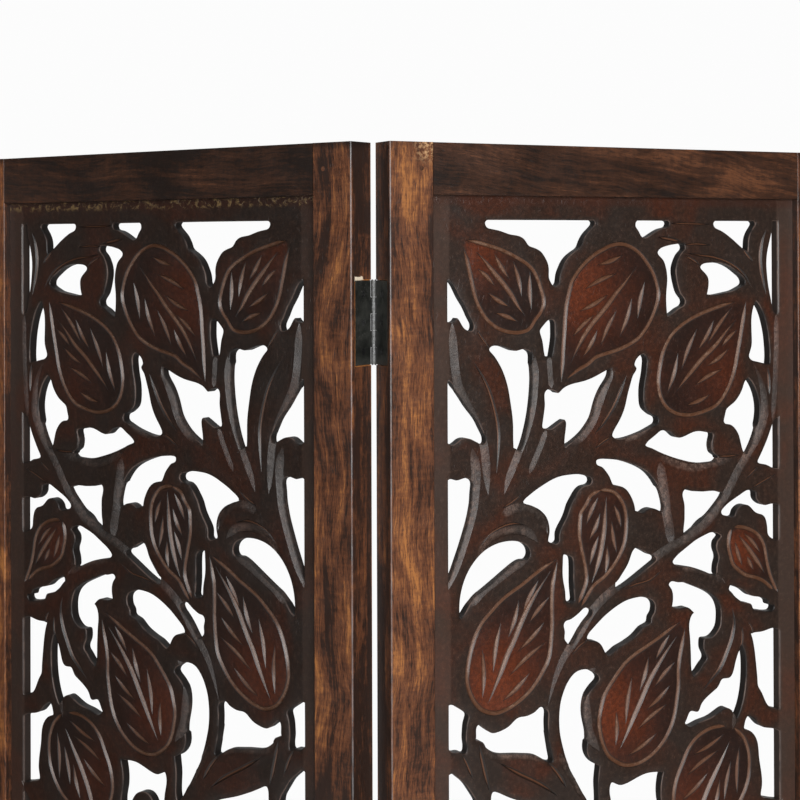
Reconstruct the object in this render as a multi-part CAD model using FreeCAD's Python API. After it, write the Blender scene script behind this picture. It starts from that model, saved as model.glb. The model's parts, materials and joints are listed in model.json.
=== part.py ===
# A folding screen of four leaves with carved leaf-and-vine boards.
# Lengths are in millimetres. X runs along the screen, -Y is its front and Z is up.
import FreeCAD
import Part
import math
import os

# Leaf frame
leaf_count = 4
leaf_width = 508.0
leaf_height = 1829.0
frame_thickness = 30.0
stile_width = 44.0
rail_height = 47.7
foot_height = 60.0
arris_radius = 1.0

# Joinery
tenon_thickness = 9.0
tenon_stop = 1.35
shoulder_land = 1.5
tenon_gap = 0.3

# Carved boards
board_thickness = 11.0
board_recess = 8.5
board_tongue = 6.0
groove_gap = 0.5
border_width = 19.0
border_height = 22.3

# Brads that hold the tenons
brad_radius = 1.0
brad_head_radius = 2.2
brad_head_height = 0.8
brad_length = 20.0
brad_inset = 12.0

# Hinges
hinges_per_fold = 3
hinge_length = 76.2
hinge_inset = 125.0
plate_thickness = 1.5
plate_width = 24.0
plate_sink = 0.15
knuckle_count = 5
knuckle_gap = 0.3
knuckle_notch = 1.0
barrel_radius = 2.7
pin_radius = 1.45
pin_gap = 0.05
pin_head_lip = 0.65
pin_head_height = 0.8
barrel_gap = 0.3
edge_gap = 0.4
mortise_gap = 0.6

# Hinge screws
screws_per_plate = 3
screw_pitch = 26.0
screw_radius = 1.5
screw_head_radius = 3.1
screw_length = 12.5
screw_tip = 4.0
screw_gap = 0.05
screw_slot_width = 0.8
screw_slot_depth = 0.5
screw_slot_length = 4.2

# Stance: each leaf is turned this far from the line of the screen
fold_degrees = 31.14

# One overrun for all cuts
overrun = 5.0

# The carving is drawn on a grid of squares. These are the field's sides on that grid.
field_left_share = 63.0
field_right_share = 445.0
field_top_share = 70.0
field_bottom_share = 838.0

# Openings of the carving, in squares of the grid. A third number marks a corner.
# These nine are cut again at the foot of the field, turned half round.
end_hole_shares = [
    [(106, 70, 1), (222, 70, 1), (224, 73), (221.5, 76.5), (214, 83.5), (211, 88), (207, 96, 1),
     (200, 100.5), (195, 104), (190, 109.5), (187, 115), (184, 123), (182.3, 130.5), (178.5, 133),
     (174.6, 129.7), (172, 124), (172, 117), (170.5, 110), (167, 104), (163, 99.5), (157, 96.5),
     (150, 94, 1), (148, 91.5), (145, 88), (140, 85.2), (130, 83.5), (120, 80.5), (110, 78.5),
     (104.5, 76.5), (103, 73.2)],
    [(273.5, 70, 1), (307.5, 70, 1), (311, 72.5), (309.5, 75.8), (305, 77.2), (299, 79),
     (292, 82.5), (285.5, 86), (281, 87), (277.5, 85), (274, 79.5), (271.3, 76), (271.2, 72.5)],
    [(367.5, 70, 1), (414.5, 70, 1), (417, 72.8), (414.5, 77), (411, 82), (408.8, 87), (408, 93),
     (407.6, 101, 1), (399.5, 96.5), (390, 89.5), (381, 83.5), (372, 79), (366, 76), (364.8, 73)],
    [(439, 70, 1), (445, 70, 1), (445, 165, 1), (440.3, 162.5, 1), (438, 154), (435.5, 144),
     (433, 132), (431.8, 122), (431.3, 113), (432, 104), (434.3, 94), (437.5, 83)],
    [(308.2, 164, 1), (316, 160.3), (323, 156), (328.3, 153.2), (329.6, 150), (324.7, 142.5),
     (321.3, 135), (319.2, 127), (318.3, 119), (319.2, 113.5), (321.5, 108), (325.5, 102),
     (329.7, 97), (328.8, 93.8), (320, 93), (313, 93.8), (306, 95.3), (300, 97.6),
     (297.2, 100.8), (303, 108), (306, 113.5), (307.7, 120), (308.3, 130), (307.3, 139),
     (307, 149)],
    [(356.5, 143, 1), (368, 143.6), (378, 142), (391, 139.6), (398, 136.6), (403.5, 132.5),
     (402.5, 128.3), (397, 123.5), (390, 118.7), (382, 114.6), (374, 112.2), (365, 111.6),
     (356, 112), (350.3, 113.7), (348.6, 115.6), (351, 119.3), (355, 122.7), (357.8, 126.5),
     (358.6, 132), (357.8, 138)],
    [(63, 125, 1), (66.5, 126.5), (71, 131.8), (76.5, 142), (82.5, 151), (87, 160),
     (90.6, 169), (89, 172.3), (83.8, 171.8), (80.5, 169.8), (76.8, 164.5), (73.2, 160.2, 1),
     (70.5, 163.2), (63, 163.4, 1)],
    [(162, 174), (165, 170), (169, 166), (173, 163.8), (177, 165), (178.2, 170), (178.2, 180),
     (177, 189), (175, 199, 1), (167.3, 198.6, 1), (166, 193), (164.8, 185), (163, 179)],
    [(417.5, 150.5, 1), (423.5, 157.5), (428, 166.5), (431, 176), (433.2, 186), (434.4, 196),
     (435, 207), (434.4, 215, 1), (427, 214.2), (419, 212.3), (411.5, 210.2), (408.8, 207),
     (409.4, 203), (411.5, 197.5), (412.3, 188), (411.8, 176), (412.3, 165.5), (414, 158)],
]

# The openings between the two ends
middle_hole_shares = [
    [(107, 189.7), (109.3, 187.4), (114, 186.8), (121.5, 187.9), (129, 190.7), (135, 192.3),
     (142.5, 191), (149, 192), (152.5, 195), (153.3, 203), (154, 216), (153.7, 228),
     (152.3, 242), (150, 256), (147, 268.5), (144, 278), (140.5, 286, 1), (132.6, 282.5, 1),
     (132.3, 270), (132.2, 261), (131, 249), (129.3, 239), (127.3, 228), (124, 217), (120, 208),
     (115, 200), (110, 194)],
    [(63, 217, 1), (66, 218.5), (70.5, 224.8), (76.5, 233), (83, 242), (90, 250), (95.5, 257.5),
     (99.8, 265.5), (103, 272.5), (101.8, 277.2), (97, 276.7), (92.5, 274.6), (87, 271.9),
     (81.5, 270.8), (76.5, 271.7), (70, 275.8), (63, 274.2, 1)],
    [(168.3, 231), (170.5, 229.8), (174.5, 230.3), (178.5, 231.8), (181.7, 233.7), (184.5, 232),
     (188, 229.2), (193, 227), (200, 225.3), (210, 223.7), (219, 221.3), (226, 218.7),
     (233, 215.6), (241.8, 213.5, 1), (240.3, 220.5), (236, 226.3), (231, 232.7), (227, 240),
     (224.3, 247), (222.3, 254), (219.7, 260), (215, 266.2), (209.5, 272), (202.5, 277.3),
     (194, 283), (189, 285.5, 1), (188.6, 280), (189.5, 272), (190.4, 266), (190.3, 261.5),
     (188.8, 259.2, 1), (183, 262.3), (178, 265.3), (173, 267.5), (168.5, 266.8),
     (164.6, 265.5), (164.5, 261), (166, 252), (167, 242)],
    [(269.2, 209.5), (270.5, 206), (274.5, 201.8), (279.5, 200), (282.7, 203), (283.2, 212),
     (282.2, 219.5), (280.4, 227.5), (279.3, 236), (279.4, 245), (281.2, 252.5), (286, 257.2),
     (291, 260.3), (295.8, 262.8), (296.3, 267.3), (290, 271.3), (282, 274.6), (274, 277),
     (266, 279), (258.5, 280.6), (252.5, 281.2), (246.5, 280.2), (243.2, 277.8), (244.5, 273),
     (248.5, 267.3), (253, 260.5), (256.3, 254), (259, 246), (262, 235), (265, 226.5),
     (268, 219.3), (271.2, 213)],
    [(407.5, 228, 1), (412.5, 233), (416, 238.5), (418.8, 245), (420.7, 252), (421.6, 259),
     (421.2, 267), (419.6, 275), (417, 284), (413, 294), (406.5, 305, 1), (400.5, 301.5),
     (398.7, 296.5), (397, 290.5), (395.2, 285), (392.3, 280.3), (388, 276), (383, 273.8),
     (379.3, 273.3), (377, 271.3), (377.8, 265.5), (380, 258.8), (385, 255), (391, 251),
     (396, 245.5), (400, 239), (403, 232)],
    [(282, 288), (285, 285), (290, 281.8), (295, 278.6), (300.5, 275.6), (306, 276),
     (310.8, 277.4), (316, 281.6), (321, 283.8), (326, 283.4), (332, 281.5), (338, 279.5),
     (344, 278.7), (350, 279.2), (357, 280.6), (363, 282.6), (362.8, 286), (361.2, 291),
     (361.2, 296.5), (364, 301.7), (369, 306.2), (367.3, 309.3), (361, 310.6), (352, 310.8),
     (343, 310), (334, 308.2), (325, 305.8), (315, 302.8), (305, 299.2), (295, 295),
     (287, 291.5)],
    [(445, 270, 1), (445, 322, 1), (436.5, 320.3), (430, 317.3), (422, 315.6), (419.2, 314),
     (421, 309.3), (426, 301), (431, 292), (434, 285.5), (437, 278.5), (441, 272)],
    [(63, 308, 1), (66.5, 307.3), (71.5, 308.8), (77, 308), (81, 307.3), (86, 308.6),
     (89.2, 311.5), (89.2, 320), (88.6, 329), (87.3, 337), (85.3, 345.5), (83, 353),
     (80.2, 361), (77, 370), (73.5, 379), (70, 387.5), (66, 397), (63, 402, 1)],
    [(244, 324.8, 1), (249.5, 326), (255, 327.8), (259.8, 331.2), (263.5, 336), (266.5, 341.5),
     (268.3, 346.5), (269.3, 351.7, 1), (274, 353.2), (278, 354.2, 1), (282, 352),
     (288, 350.7), (292.5, 351.6), (297, 353.6), (303, 355.4, 1), (304, 351.5),
     (303.3, 346.5), (301.5, 340.3), (298.8, 333.7), (294.8, 327.3), (289.8, 320.8),
     (284, 315.3), (277.5, 311.2), (270, 307.7), (262, 304.8), (254, 302.4), (245, 300.5),
     (236, 299.4), (228.5, 299), (224.6, 300.4), (225, 303.6), (230, 306.3), (235, 310.6),
     (239.3, 316.2), (242, 321)],
    [(143.2, 333), (146, 330.3), (150, 327.7), (156, 324), (163, 320.4), (170, 317),
     (178, 314), (186, 312.3), (194, 311.8), (203, 311.8), (208.5, 312.8), (214, 314.2),
     (218.6, 316.8), (219, 320.6), (216.5, 322.9), (211, 323.8), (206.5, 325.9), (202.5, 330),
     (199, 335), (195.5, 340.5), (193, 347), (190, 353.3), (186.3, 359), (183.2, 364.3),
     (182.2, 369.5), (182, 373.8), (179.5, 376.1), (174.5, 375), (170.5, 373), (171.2, 367),
     (171.6, 361), (170.5, 355), (168, 349.5), (163.5, 344.5), (158, 340.6), (152, 337.8),
     (146, 335.9)],
    [(326.4, 337.3), (328.7, 335.2), (334, 336.7), (341, 337.9), (349, 338.8), (357, 338.9),
     (364, 339.2), (371, 340.8), (376.5, 342.6, 1), (372.5, 348.3), (367, 353.5), (360, 360),
     (352, 366), (344, 371.5), (335.5, 376.8), (327, 381.5, 1), (326.8, 373), (327.8, 366),
     (328, 358), (327.5, 348)],
    [(405.8, 341.4), (411, 342), (415.6, 343.6), (416.3, 348.5), (418.8, 353.3), (423, 356.5),
     (428, 358.2), (433, 357.7), (437, 357.3), (445, 359.4, 1), (445, 394.8, 1),
     (436.5, 392.4), (432, 388.4), (430.9, 382), (430, 376), (428.3, 371.3), (424.5, 367.6),
     (419, 365.8), (414.5, 363.4), (411, 360), (407.5, 357.2), (403, 355.8), (398, 356.5),
     (393.8, 358.9), (391, 362.5), (389.5, 366), (386, 367), (379, 365.1), (374.3, 363.5),
     (373, 361), (376, 356.8), (382, 352.5), (388, 349.4), (394, 346.5), (400, 343.6)],
    [(74.8, 435, 1), (74.4, 426), (75, 418), (76.5, 410.5), (79, 402.7), (82, 396.3), (86, 390),
     (91, 384), (97, 378.6), (103, 374.7), (110, 371.7), (118, 369.7), (126, 369), (133, 369.4),
     (140, 371.2), (146, 374.3), (149.6, 379.3), (149.7, 385), (147.3, 387.9), (142, 388),
     (136, 389.4), (130, 392.8), (124, 396.8), (117, 401.3), (109, 406.6), (101, 411.8),
     (93, 416.4), (88, 421), (83, 427.3), (78.5, 433)],
    [(187.8, 386.9), (192.5, 388.2), (196.3, 390.2), (197.8, 396), (198, 406), (198, 417),
     (199, 427), (198.3, 432.6), (195.5, 433.4), (190, 431), (189, 425), (187.8, 417),
     (186.3, 409), (186, 400), (186.4, 391)],
    [(267, 389.5), (269.5, 387.8), (275, 389.7), (281, 392.8), (287, 396), (292, 397.9),
     (294, 400.8), (291, 404), (284, 408), (277, 412.2), (270, 416.3), (262, 420.6),
     (254, 424.5), (247, 426, 1), (248, 419), (253, 412.3), (258, 406), (262, 399.5)],
    [(313.5, 405.3), (316, 401.7), (320, 398.5), (326, 394.9), (332, 391.5), (338, 388),
     (345, 384.8), (352, 382.4), (359, 380.3), (364, 380.5), (369.5, 382.5), (372.2, 384.8),
     (369, 388.5), (366.8, 392.5), (367, 398), (368.8, 402.5), (369.3, 407), (367.6, 412.5),
     (366.8, 418.5), (366.8, 423, 1), (359, 421.3), (353, 418.6), (347, 416.2), (340, 413.7),
     (332, 411.9), (324, 410.2), (317, 408.7)],
    [(187.2, 453), (189, 450.4), (193.5, 449.3), (199, 447), (205, 443.3), (211.3, 439.7),
     (216, 441.2), (220, 444.2), (219, 447.8), (214.5, 452), (209.5, 456.9), (205.5, 461.7),
     (202, 467), (197, 474, 1), (190.5, 470.5), (188, 467), (188.2, 460)],
    [(213.2, 468.8), (214.5, 465.4), (219, 461), (224.5, 456.6), (230.5, 451.8), (237, 447.5),
     (245, 443), (253, 439.4), (261, 437), (269, 436), (277, 436), (283, 437.8),
     (288.5, 440.2), (291.6, 444), (292, 449), (290.6, 453.5), (287.8, 457.5), (287, 461.8),
     (283, 464.2), (277.5, 466.3), (273.5, 469.5), (268, 473.7), (262, 476.8), (255, 479.8),
     (248, 482.4), (243, 485.6), (237.5, 488.5, 1), (233.3, 484.2), (231, 479.8),
     (228, 475.8), (224.3, 473.3), (219, 472)],
    [(308.8, 427), (310.8, 424.7), (314, 424.5), (319, 425.9), (325, 426.4), (333, 429.2),
     (341, 432.4), (349, 435.8), (356, 439.1), (362, 442.9), (367, 447.7), (370, 453),
     (371.8, 460), (371.8, 468), (370.3, 475.3), (367, 480), (362, 484), (356.5, 485.1),
     (351.5, 485.3), (350.2, 490), (351, 496.3), (353.6, 501.5), (353.7, 505.5), (350, 509.6),
     (345.5, 514.8), (337.5, 520.5, 1), (335.3, 512), (335, 502), (334.5, 491), (333.8, 480),
     (333, 471), (334, 464.3), (336, 460.3), (338.8, 457.8, 1), (335.5, 454.6),
     (330.5, 451.6), (325, 451.6), (318, 451.2), (312.4, 448.9, 1), (313.7, 441), (312.8, 434),
     (310.5, 430)],
    [(382.3, 437.3), (384.3, 435), (389, 436.7), (394, 438.6), (399, 440.8), (404, 444.4),
     (408.5, 447.5), (415, 449.4), (421, 450.6), (427, 452.8), (430.8, 455.5), (432.5, 459.2),
     (438.5, 461.5), (437.6, 464.9), (432.5, 466.2), (426.5, 465.4), (420, 464),
     (412.5, 461.4), (410.2, 457), (405, 454.9), (399, 453.3), (393.5, 450), (388.5, 445.8),
     (384.5, 441.5)],
    [(208, 498.2), (213, 498.7), (219, 501.5), (225, 505.5), (226.8, 509), (222, 514.5),
     (217.3, 519), (213.3, 524), (210.8, 530), (209.7, 537), (210.3, 545), (212, 552),
     (213.5, 559), (213, 567.5), (212.3, 574), (214, 581.3), (218, 586.9), (226.8, 592.6, 1),
     (226, 599), (225, 608), (225.3, 618), (225.5, 628), (223, 637, 1), (214, 626), (207, 613.5),
     (200, 601), (195, 592.7), (190.6, 584), (187, 574), (184.5, 565), (182.5, 556),
     (181.7, 548), (181.6, 540), (182.3, 532), (183.7, 524.5), (186, 518), (189.5, 510.8),
     (194, 504.8), (200, 500)],
    [(63, 513.5, 1), (66, 513.3), (70, 515.4), (75, 518.5), (80, 521.8), (83.7, 525.3),
     (82.3, 532), (81.1, 540), (80.8, 548), (81.6, 555.5), (80.3, 559.7), (75, 558),
     (70, 557.6), (63, 553.5, 1)],
    [(91.2, 548), (91.5, 541), (92.3, 537), (94.3, 535.3), (98, 537.6), (103, 541.6),
     (108, 544.8), (114, 545), (121, 543.4), (128, 540.2), (133.5, 536), (138, 534.3),
     (144, 534.3), (151, 533), (156, 530.8), (161, 527.7), (165.5, 529.3), (169, 532.5),
     (169.4, 540), (169.3, 548), (170, 558), (171.6, 567.5), (173.4, 576), (173.4, 580.8),
     (169.5, 580.4), (162, 576), (155, 572.4), (148, 570.9), (140, 569.6), (130, 568),
     (120, 566.8), (113, 564.6), (106.5, 560.8), (101.5, 556.2), (97.5, 551.4)],
    [(409.6, 486.3, 1), (415, 485.7), (422, 485.8), (428.5, 485), (434.5, 483.8),
     (445, 486.5, 1), (445, 567, 1), (438, 565), (432, 562.4), (428, 557.6), (424.5, 550.5),
     (421, 544.5), (418.6, 540.8), (417.5, 533), (416.5, 524), (415.3, 513), (413.8, 502),
     (412, 493.5)],
    [(398.5, 496.5, 1), (402.3, 508), (402.9, 518), (402.7, 528), (401.8, 538), (399.7, 549),
     (396, 560), (391, 569, 1), (387.5, 562.8), (382.5, 558.6), (378, 557), (373, 558.2),
     (367, 561), (360, 564), (350, 566), (342, 567.8), (335, 569.7), (327.3, 565, 1),
     (330.5, 559.5), (334.5, 554.6), (338.5, 555.3), (343.5, 555.9), (346.5, 551), (350.5, 546),
     (356.5, 541.8), (363, 538), (368.5, 534), (373.3, 527.7), (377.5, 527.5), (383, 527),
     (386.7, 522.5), (389, 515.5), (391.5, 508)],
    [(63, 577, 1), (66.5, 576.2), (71, 579.6), (76, 583.8), (81, 588.8), (85, 594.5),
     (89, 600.5), (92.5, 607), (92.5, 617), (90, 628), (86.5, 640), (81, 652), (74, 661),
     (63, 668, 1)],
    [(107.6, 602), (109, 599.7), (113, 600.2), (119, 603.3), (126, 607), (134, 610.6),
     (143, 614.5), (154, 618.5), (166, 622.5), (177, 628), (183.5, 635), (178, 639.5),
     (166, 638.5), (154, 639.5), (144, 643.5), (135, 648.5), (127, 652), (117, 658),
     (110, 667), (106.5, 680, 1), (101.5, 672), (98.5, 660), (98.5, 648), (101.5, 634),
     (105, 620), (107, 610)],
    [(400.5, 580.5), (400.7, 577), (402.6, 571.5), (405.5, 568.8), (409.5, 570.5), (413, 573),
     (417, 577.2), (421.5, 581), (428, 583.6), (435, 585), (445, 589.5, 1), (445, 659, 1),
     (438, 657.5), (430, 655.2), (421.5, 651.5), (422.3, 643), (422.6, 634), (421.2, 624),
     (419.2, 613), (418.3, 603), (416.8, 595.5), (413.4, 589.2), (408.6, 584.6),
     (403.5, 582.2)],
    [(238.7, 614), (240.5, 610.8), (243.5, 611.6), (250, 614.5), (258, 614), (268, 611),
     (280, 608), (293, 608.3), (301, 609.5, 1), (299, 617), (297.8, 627), (298.5, 637),
     (300.5, 646), (300.5, 656), (297, 664.5), (291, 663), (288, 655), (285, 646),
     (279, 638.8), (270, 635.6), (262, 637), (256.5, 643), (253, 652), (248, 658.5),
     (243.5, 655), (241.5, 645), (240.3, 630)],
    [(228.5, 707), (226, 699), (226.6, 688), (228.7, 675), (231.5, 664), (236, 659),
     (241, 662.5), (242, 672), (239.5, 684), (236, 697), (232.5, 705)],
    [(263, 689.5), (270, 678.5), (281, 671.5), (294, 673.5), (303, 666.5), (314, 663),
     (325, 667.5), (322, 673.5), (308, 679.5), (292, 684), (278, 688)],
    [(349.5, 705), (359, 698.5), (374, 695), (390, 692.5), (404, 687), (414, 683.5),
     (419, 689), (415.5, 700), (409, 711), (401, 717.5), (388, 720), (374, 717),
     (359, 715.5), (351, 711)],
    [(445, 669, 1), (445, 729, 1), (436.5, 724.5), (429.5, 715.5), (426.5, 704), (428.5, 692),
     (435, 680), (440.5, 672)],
]


def box(x0, x1, y0, y1, z0, z1):
    """A box between two limits on each axis."""
    corner = FreeCAD.Vector(min(x0, x1), min(y0, y1), min(z0, z1))
    return Part.makeBox(abs(x1 - x0), abs(y1 - y0), abs(z1 - z0), corner)


def rod(radius, length, base, direction):
    """A round rod from a base point along a direction."""
    return Part.makeCylinder(radius, length, base, direction)


def fused(solids):
    """One clean solid from several that meet."""
    return solids[0].fuse(solids[1:]).removeSplitter()


def timber(x0, x1, y0, y1, z0, z1, along_x):
    """A squared timber whose four long arrises are rounded."""
    stick = box(x0, x1, y0, y1, z0, z1)
    long_edges = []
    for edge in stick.Edges:
        run = edge.Vertexes[1].Point - edge.Vertexes[0].Point
        span = abs(run.x) if along_x else abs(run.z)
        if math.isclose(span, run.Length):
            long_edges.append(edge)
    return stick.makeFillet(arris_radius, long_edges)


# Heights of the leaf, from the floor up
opening_height = (leaf_height - foot_height - 3 * rail_height) / 2
bottom_rail_z = foot_height
lower_board_z = bottom_rail_z + rail_height
middle_rail_z = lower_board_z + opening_height
upper_board_z = middle_rail_z + rail_height
top_rail_z = upper_board_z + opening_height
rail_levels = {"bottom_rail": bottom_rail_z, "middle_rail": middle_rail_z, "top_rail": top_rail_z}
board_levels = {"lower_board": lower_board_z, "upper_board": upper_board_z}

# Places across the leaf and through it. The front face is at zero.
inner_left = stile_width
inner_right = leaf_width - stile_width
board_front = board_recess
board_back = board_recess + board_thickness
groove_depth = board_tongue + groove_gap

# The tenons end short of the hinge screws and keep clear of the boards' grooves.
tenon_front = board_recess + (board_thickness - tenon_thickness) / 2
tenon_back = tenon_front + tenon_thickness
tenon_length = stile_width - plate_sink - screw_length - tenon_stop
tenon_shoulder = groove_depth + shoulder_land

# Hinge places. The pin stands off the leaf's edge and off its face.
bore_radius = pin_radius + pin_gap
pin_head_radius = pin_radius + pin_head_lip
pin_stand_off = barrel_radius + barrel_gap
knuckle_length = hinge_length / knuckle_count
top_hinge_z = leaf_height - hinge_inset - hinge_length
bottom_hinge_z = hinge_inset
hinge_step = (top_hinge_z - bottom_hinge_z) / (hinges_per_fold - 1)
hinge_levels = [bottom_hinge_z + hinge_step * i for i in range(hinges_per_fold)]
mortise_depth = plate_sink + plate_thickness


def grid_point(squares, board_z, mirrored):
    """Place a point of the carving's grid on a board's front face."""
    across_share = (squares[0] - field_left_share) / (field_right_share - field_left_share)
    down_share = (squares[1] - field_top_share) / (field_bottom_share - field_top_share)
    field_left = inner_left + border_width
    field_right = inner_right - border_width
    x = field_left + across_share * (field_right - field_left)
    if mirrored:
        x = leaf_width - x
    z_top = board_z + opening_height - border_height
    z_bottom = board_z + border_height
    return FreeCAD.Vector(x, board_front, z_top - down_share * (z_top - z_bottom))


def turned(outline):
    """The same outline turned half round about the middle of the field."""
    across = field_left_share + field_right_share
    down = field_top_share + field_bottom_share
    return [(across - p[0], down - p[1]) + tuple(p[2:]) for p in outline]


def outline_face(outline, board_z, mirrored):
    """A face bounded by curves between the outline's corners."""
    corners = [i for i, p in enumerate(outline) if len(p) > 2]
    if not corners:
        curve = Part.BSplineCurve()
        points = [grid_point(p, board_z, mirrored) for p in outline]
        curve.interpolate(Points=points, PeriodicFlag=True)
        return Part.Face(Part.Wire([curve.toShape()]))
    start = corners[0]
    ring = outline[start:] + outline[:start] + [outline[start]]
    edges = []
    run = [grid_point(ring[0], board_z, mirrored)]
    for p in ring[1:]:
        run.append(grid_point(p, board_z, mirrored))
        if len(p) > 2:
            if len(run) == 2:
                edges.append(Part.LineSegment(run[0], run[1]).toShape())
            else:
                curve = Part.BSplineCurve()
                curve.interpolate(Points=run)
                edges.append(curve.toShape())
            run = [run[-1]]
    return Part.Face(Part.Wire(edges))


def board(board_z, mirrored):
    """A carved board: a plain panel with every opening cut through it."""
    x0 = inner_left - board_tongue
    x1 = inner_right + board_tongue
    z0 = board_z - board_tongue
    z1 = board_z + opening_height + board_tongue
    corners = [FreeCAD.Vector(x, board_front, z) for x, z in ((x0, z0), (x1, z0), (x1, z1), (x0, z1))]
    sheet = Part.Face(Part.makePolygon(corners + corners[:1]))
    outlines = end_hole_shares + [turned(o) for o in end_hole_shares] + middle_hole_shares
    holes = [outline_face(o, board_z, mirrored) for o in outlines]
    sheet = sheet.cut(Part.makeCompound(holes)).Faces[0]
    return sheet.extrude(FreeCAD.Vector(0, board_thickness, 0))


def brad_places():
    """Points on the front face where brads hold the tenons."""
    places = []
    for level in rail_levels.values():
        z = level + rail_height / 2
        places.append(FreeCAD.Vector(inner_left - brad_inset, 0, z))
        places.append(FreeCAD.Vector(inner_right + brad_inset, 0, z))
    return places


def brads():
    """The headed brads of one leaf."""
    inward = FreeCAD.Vector(0, 1, 0)
    nails = []
    for place in brad_places():
        head = rod(brad_head_radius, brad_head_height, place, inward)
        nails.append(fused([head, rod(brad_radius, brad_length, place, inward)]))
    return Part.makeCompound(nails)


def brad_holes():
    """Holes for the brads, with room round the shank and the head."""
    inward = FreeCAD.Vector(0, 1, 0)
    cuts = []
    for place in brad_places():
        start = place - inward * overrun
        cuts.append(rod(brad_head_radius + pin_gap, overrun + brad_head_height, start, inward))
        cuts.append(rod(brad_radius + pin_gap, overrun + brad_length, start, inward))
    return cuts


def rail(level):
    """A rail with a tenon at each end and a groove on each edge that meets a board."""
    body = timber(inner_left, inner_right, 0, frame_thickness, level, level + rail_height, True)
    tenon = box(inner_left - tenon_length, inner_right + tenon_length, tenon_front, tenon_back,
                level + tenon_shoulder, level + rail_height - tenon_shoulder)
    shape = fused([body, tenon])
    cuts = brad_holes()
    x0 = inner_left - overrun
    x1 = inner_right + overrun
    if level > bottom_rail_z:
        cuts.append(box(x0, x1, board_front, board_back, level - overrun, level + groove_depth))
    if level < top_rail_z:
        top = level + rail_height
        cuts.append(box(x0, x1, board_front, board_back, top - groove_depth, top + overrun))
    return shape.cut(cuts)


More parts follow.
